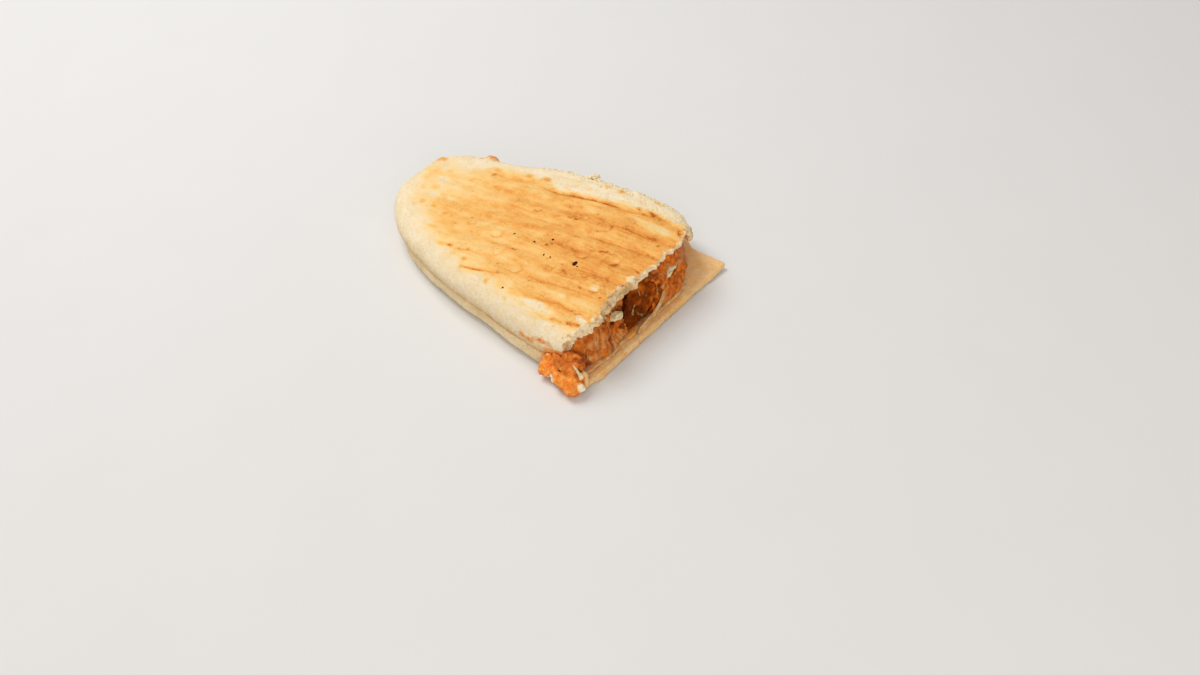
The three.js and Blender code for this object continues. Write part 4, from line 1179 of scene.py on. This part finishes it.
def specks(upper, sauce):
    """Burnt specks from the grill, each set into the toasted face, and one in the sauce."""
    tree = surface_of(upper.data)
    draw = np.random.default_rng(5)
    bm = bmesh.new()
    found = [(from_above(tree, x, y), r) for x, y, r in SPECKS]
    x, z, r = SPECK_IN_SAUCE
    found.append((landing(surface_of(sauce.data), (x, BESIDE, z), (0, 1, 0)), r))
    for i, ((hit, normal), r) in enumerate(found):
        if hit is None:
            continue
        radii = (r * (1 + 0.3 * draw.random()), r * (0.7 + 0.3 * draw.random()), r * 0.3)
        pebble(bm, hit, radii, normal, draw.random() * 3, i + 1, detail=2)
    return finished("grill_specks", mesh_of(bm), CHARRED)


def crumbs_on_the_edges(upper):
    """Crumbs that cling to the torn end and the far edge, and the flaky tuft there."""
    tree = surface_of(upper.data)
    draw = np.random.default_rng(23)
    bm = bmesh.new()
    layers = {name: bm.verts.layers.float.new(name) for name in ("toast", "crumb", "pit", "oil", "tan")}

    def drop(hit, normal, r, brown, stain, pit):
        """One crumb of radius r, with how brown and stained it is, and how much painted shade darkens its
        pits.
        """
        turn, seed = draw.random() * 6, int(draw.integers(1, 900))
        made = pebble(bm, hit, (r, r * 0.8, r * 0.6), normal, turn, seed)
        for v in made:
            for name, value in (("toast", brown), ("crumb", 1 - brown), ("pit", pit), ("oil", stain)):
                v[layers[name]] = value

    # On the torn end, where sauce has stained the lower ones.
    for _ in range(END_CRUMBS):
        y, z = draw.uniform(-39, 34), draw.uniform(7, 21)
        hit, normal = at_the_cut(tree, y, z)
        if hit is None or normal.x < 0.25 or hit.x / MM - LAYOUT[0] < END_CRUMBS_FROM:
            continue
        low = hit.z / MM < 17 and -24 < y < 24
        r = draw.uniform(0.12, 0.32)
        stain = 0.8 * draw.random() if low else 0.0
        drop(hit, normal, r, 0.0, stain, draw.random() * 0.4)
    # Along the far edge.
    for _ in range(EDGE_CRUMBS):
        x = draw.uniform(44, 112)
        hit, normal = from_above(tree, x, draw.uniform(30, 41))
        if hit is None or hit.z / MM < 8:
            continue
        drop(hit, normal, 0.2 + 0.6 * draw.random() ** 2, draw.random() * 0.35, 0.0, draw.random() * 0.2)
    # The tuft, whose later flakes stand farther out.
    out = Vector((0.1, 0.72, 0.62))
    for i in range(TUFT_FLAKES):
        x, y = TUFT[0] + draw.normal() * 1.3, TUFT[1] + draw.normal() * 0.5
        hit, _ = from_above(tree, x, y)
        if hit is None:
            continue
        lift = 2.8 * (i / TUFT_FLAKES) * math.exp(-(((x - 67.6) / 1.6) ** 2)) * MM
        drop(hit + out * lift, out, draw.uniform(0.5, 1.0), 0.15 if draw.random() < 0.2 else 0.0, 0.0, 0.0)
    return finished("bread_crumbs", mesh_of(bm), LOOSE_CRUMB)


# Pale fibres stuck to the pepper: y, z, angle, length, half-width.
FLECKS = (
    (-10.0, 11.6, 60, 1.5, 0.6), (-9.0, 12.6, 38, 1.8, 0.2), (-10.8, 11.0, 100, 1.2, 0.3),
    (-7.4, 8.4, -25, 1.5, 0.2), (-6.6, 7.8, 20, 1.3, 0.18), (-6.2, 7.0, 5, 1.5, 0.22),
    (-4.6, 15.4, 78, 1.9, 0.28), (-8.2, 9.4, 60, 0.8, 0.18), (-2.0, 12.8, 15, 0.7, 0.14),
)


def flecks_on_the_pepper():
    """Pale fibres and flecks stuck to the browned piece."""
    rod = straight_strand(steps=5)
    tree = surface_of(bpy.data.objects["pepper_chunk"].data)
    bm = bmesh.new()
    for y, z, angle, long, half in FLECKS:
        turn = math.radians(angle)
        run_y, run_z = math.cos(turn) * long / 2, math.sin(turn) * long / 2
        met = [at_the_cut(tree, y + s * run_y, z + s * run_z)[0] for s in (-1, 0, 1)]
        if None in met:
            continue
        shred(bm, rod, met, half, 0.14, Vector((1, 0, 0)), ())
    return finished("pepper_flecks", mesh_of(bm), FIBRE)


# ---- camera, light and floor ----
def camera_and_light():
    right, up = Vector(CAMERA_RIGHT), Vector(CAMERA_UP)
    camera = bpy.data.objects.new("camera", bpy.data.cameras.new("camera"))
    camera.data.lens, camera.data.sensor_width = LENS, SENSOR
    turn = Matrix((right, up, right.cross(up))).transposed().to_4x4()
    camera.matrix_world = Matrix.Translation(CAMERA_AT) @ turn
    bpy.context.scene.collection.objects.link(camera)
    bpy.context.scene.camera = camera

    for name, spot, size, watts, hue in LAMPS:
        lamp = bpy.data.objects.new(name, bpy.data.lights.new(name, "AREA"))
        lamp.data.energy, lamp.data.size, lamp.data.color = watts, size, hue
        turn = Vector(spot).to_track_quat("Z", "Y").to_matrix().to_4x4()
        lamp.matrix_world = Matrix.Translation(spot) @ turn
        bpy.context.scene.collection.objects.link(lamp)

    world = bpy.data.worlds.new("studio")
    world.use_nodes = True
    sky = world.node_tree.nodes["Background"].inputs
    sky["Color"].default_value, sky["Strength"].default_value = SKY, SKY_STRENGTH
    bpy.context.scene.world = world
    bpy.context.scene.view_settings.view_transform = "Standard"

    bm = bmesh.new()
    bmesh.ops.create_circle(bm, cap_ends=True, segments=96, radius=FLOOR_RADIUS)
    bmesh.ops.translate(bm, verts=bm.verts, vec=(0, 0, FLOOR_HEIGHT))
    floor = bpy.data.objects.new("floor", mesh_of(bm))
    paper = Finish("pale_floor", Roughness=0.9)
    paper.feed("Base Color", paper.blend(paper.noise(40, 2), tone(222, 223, 225), tone(225, 226, 228)))
    floor.data.materials.append(paper.material)
    bpy.context.scene.collection.objects.link(floor)


camera_and_light()
upper = skin_of_upper_slice()
skin_of_lower_slice()
chicken = chicken_at_the_cut()
shreds(chicken)
cheese_layer()
pieces_at_the_cut()
drawn_cheese()
sauce = sauce_at_the_corner()
specks(upper, sauce)
crumbs_on_the_edges(upper)
flecks_on_the_pepper()

bpy.context.view_layer.update()
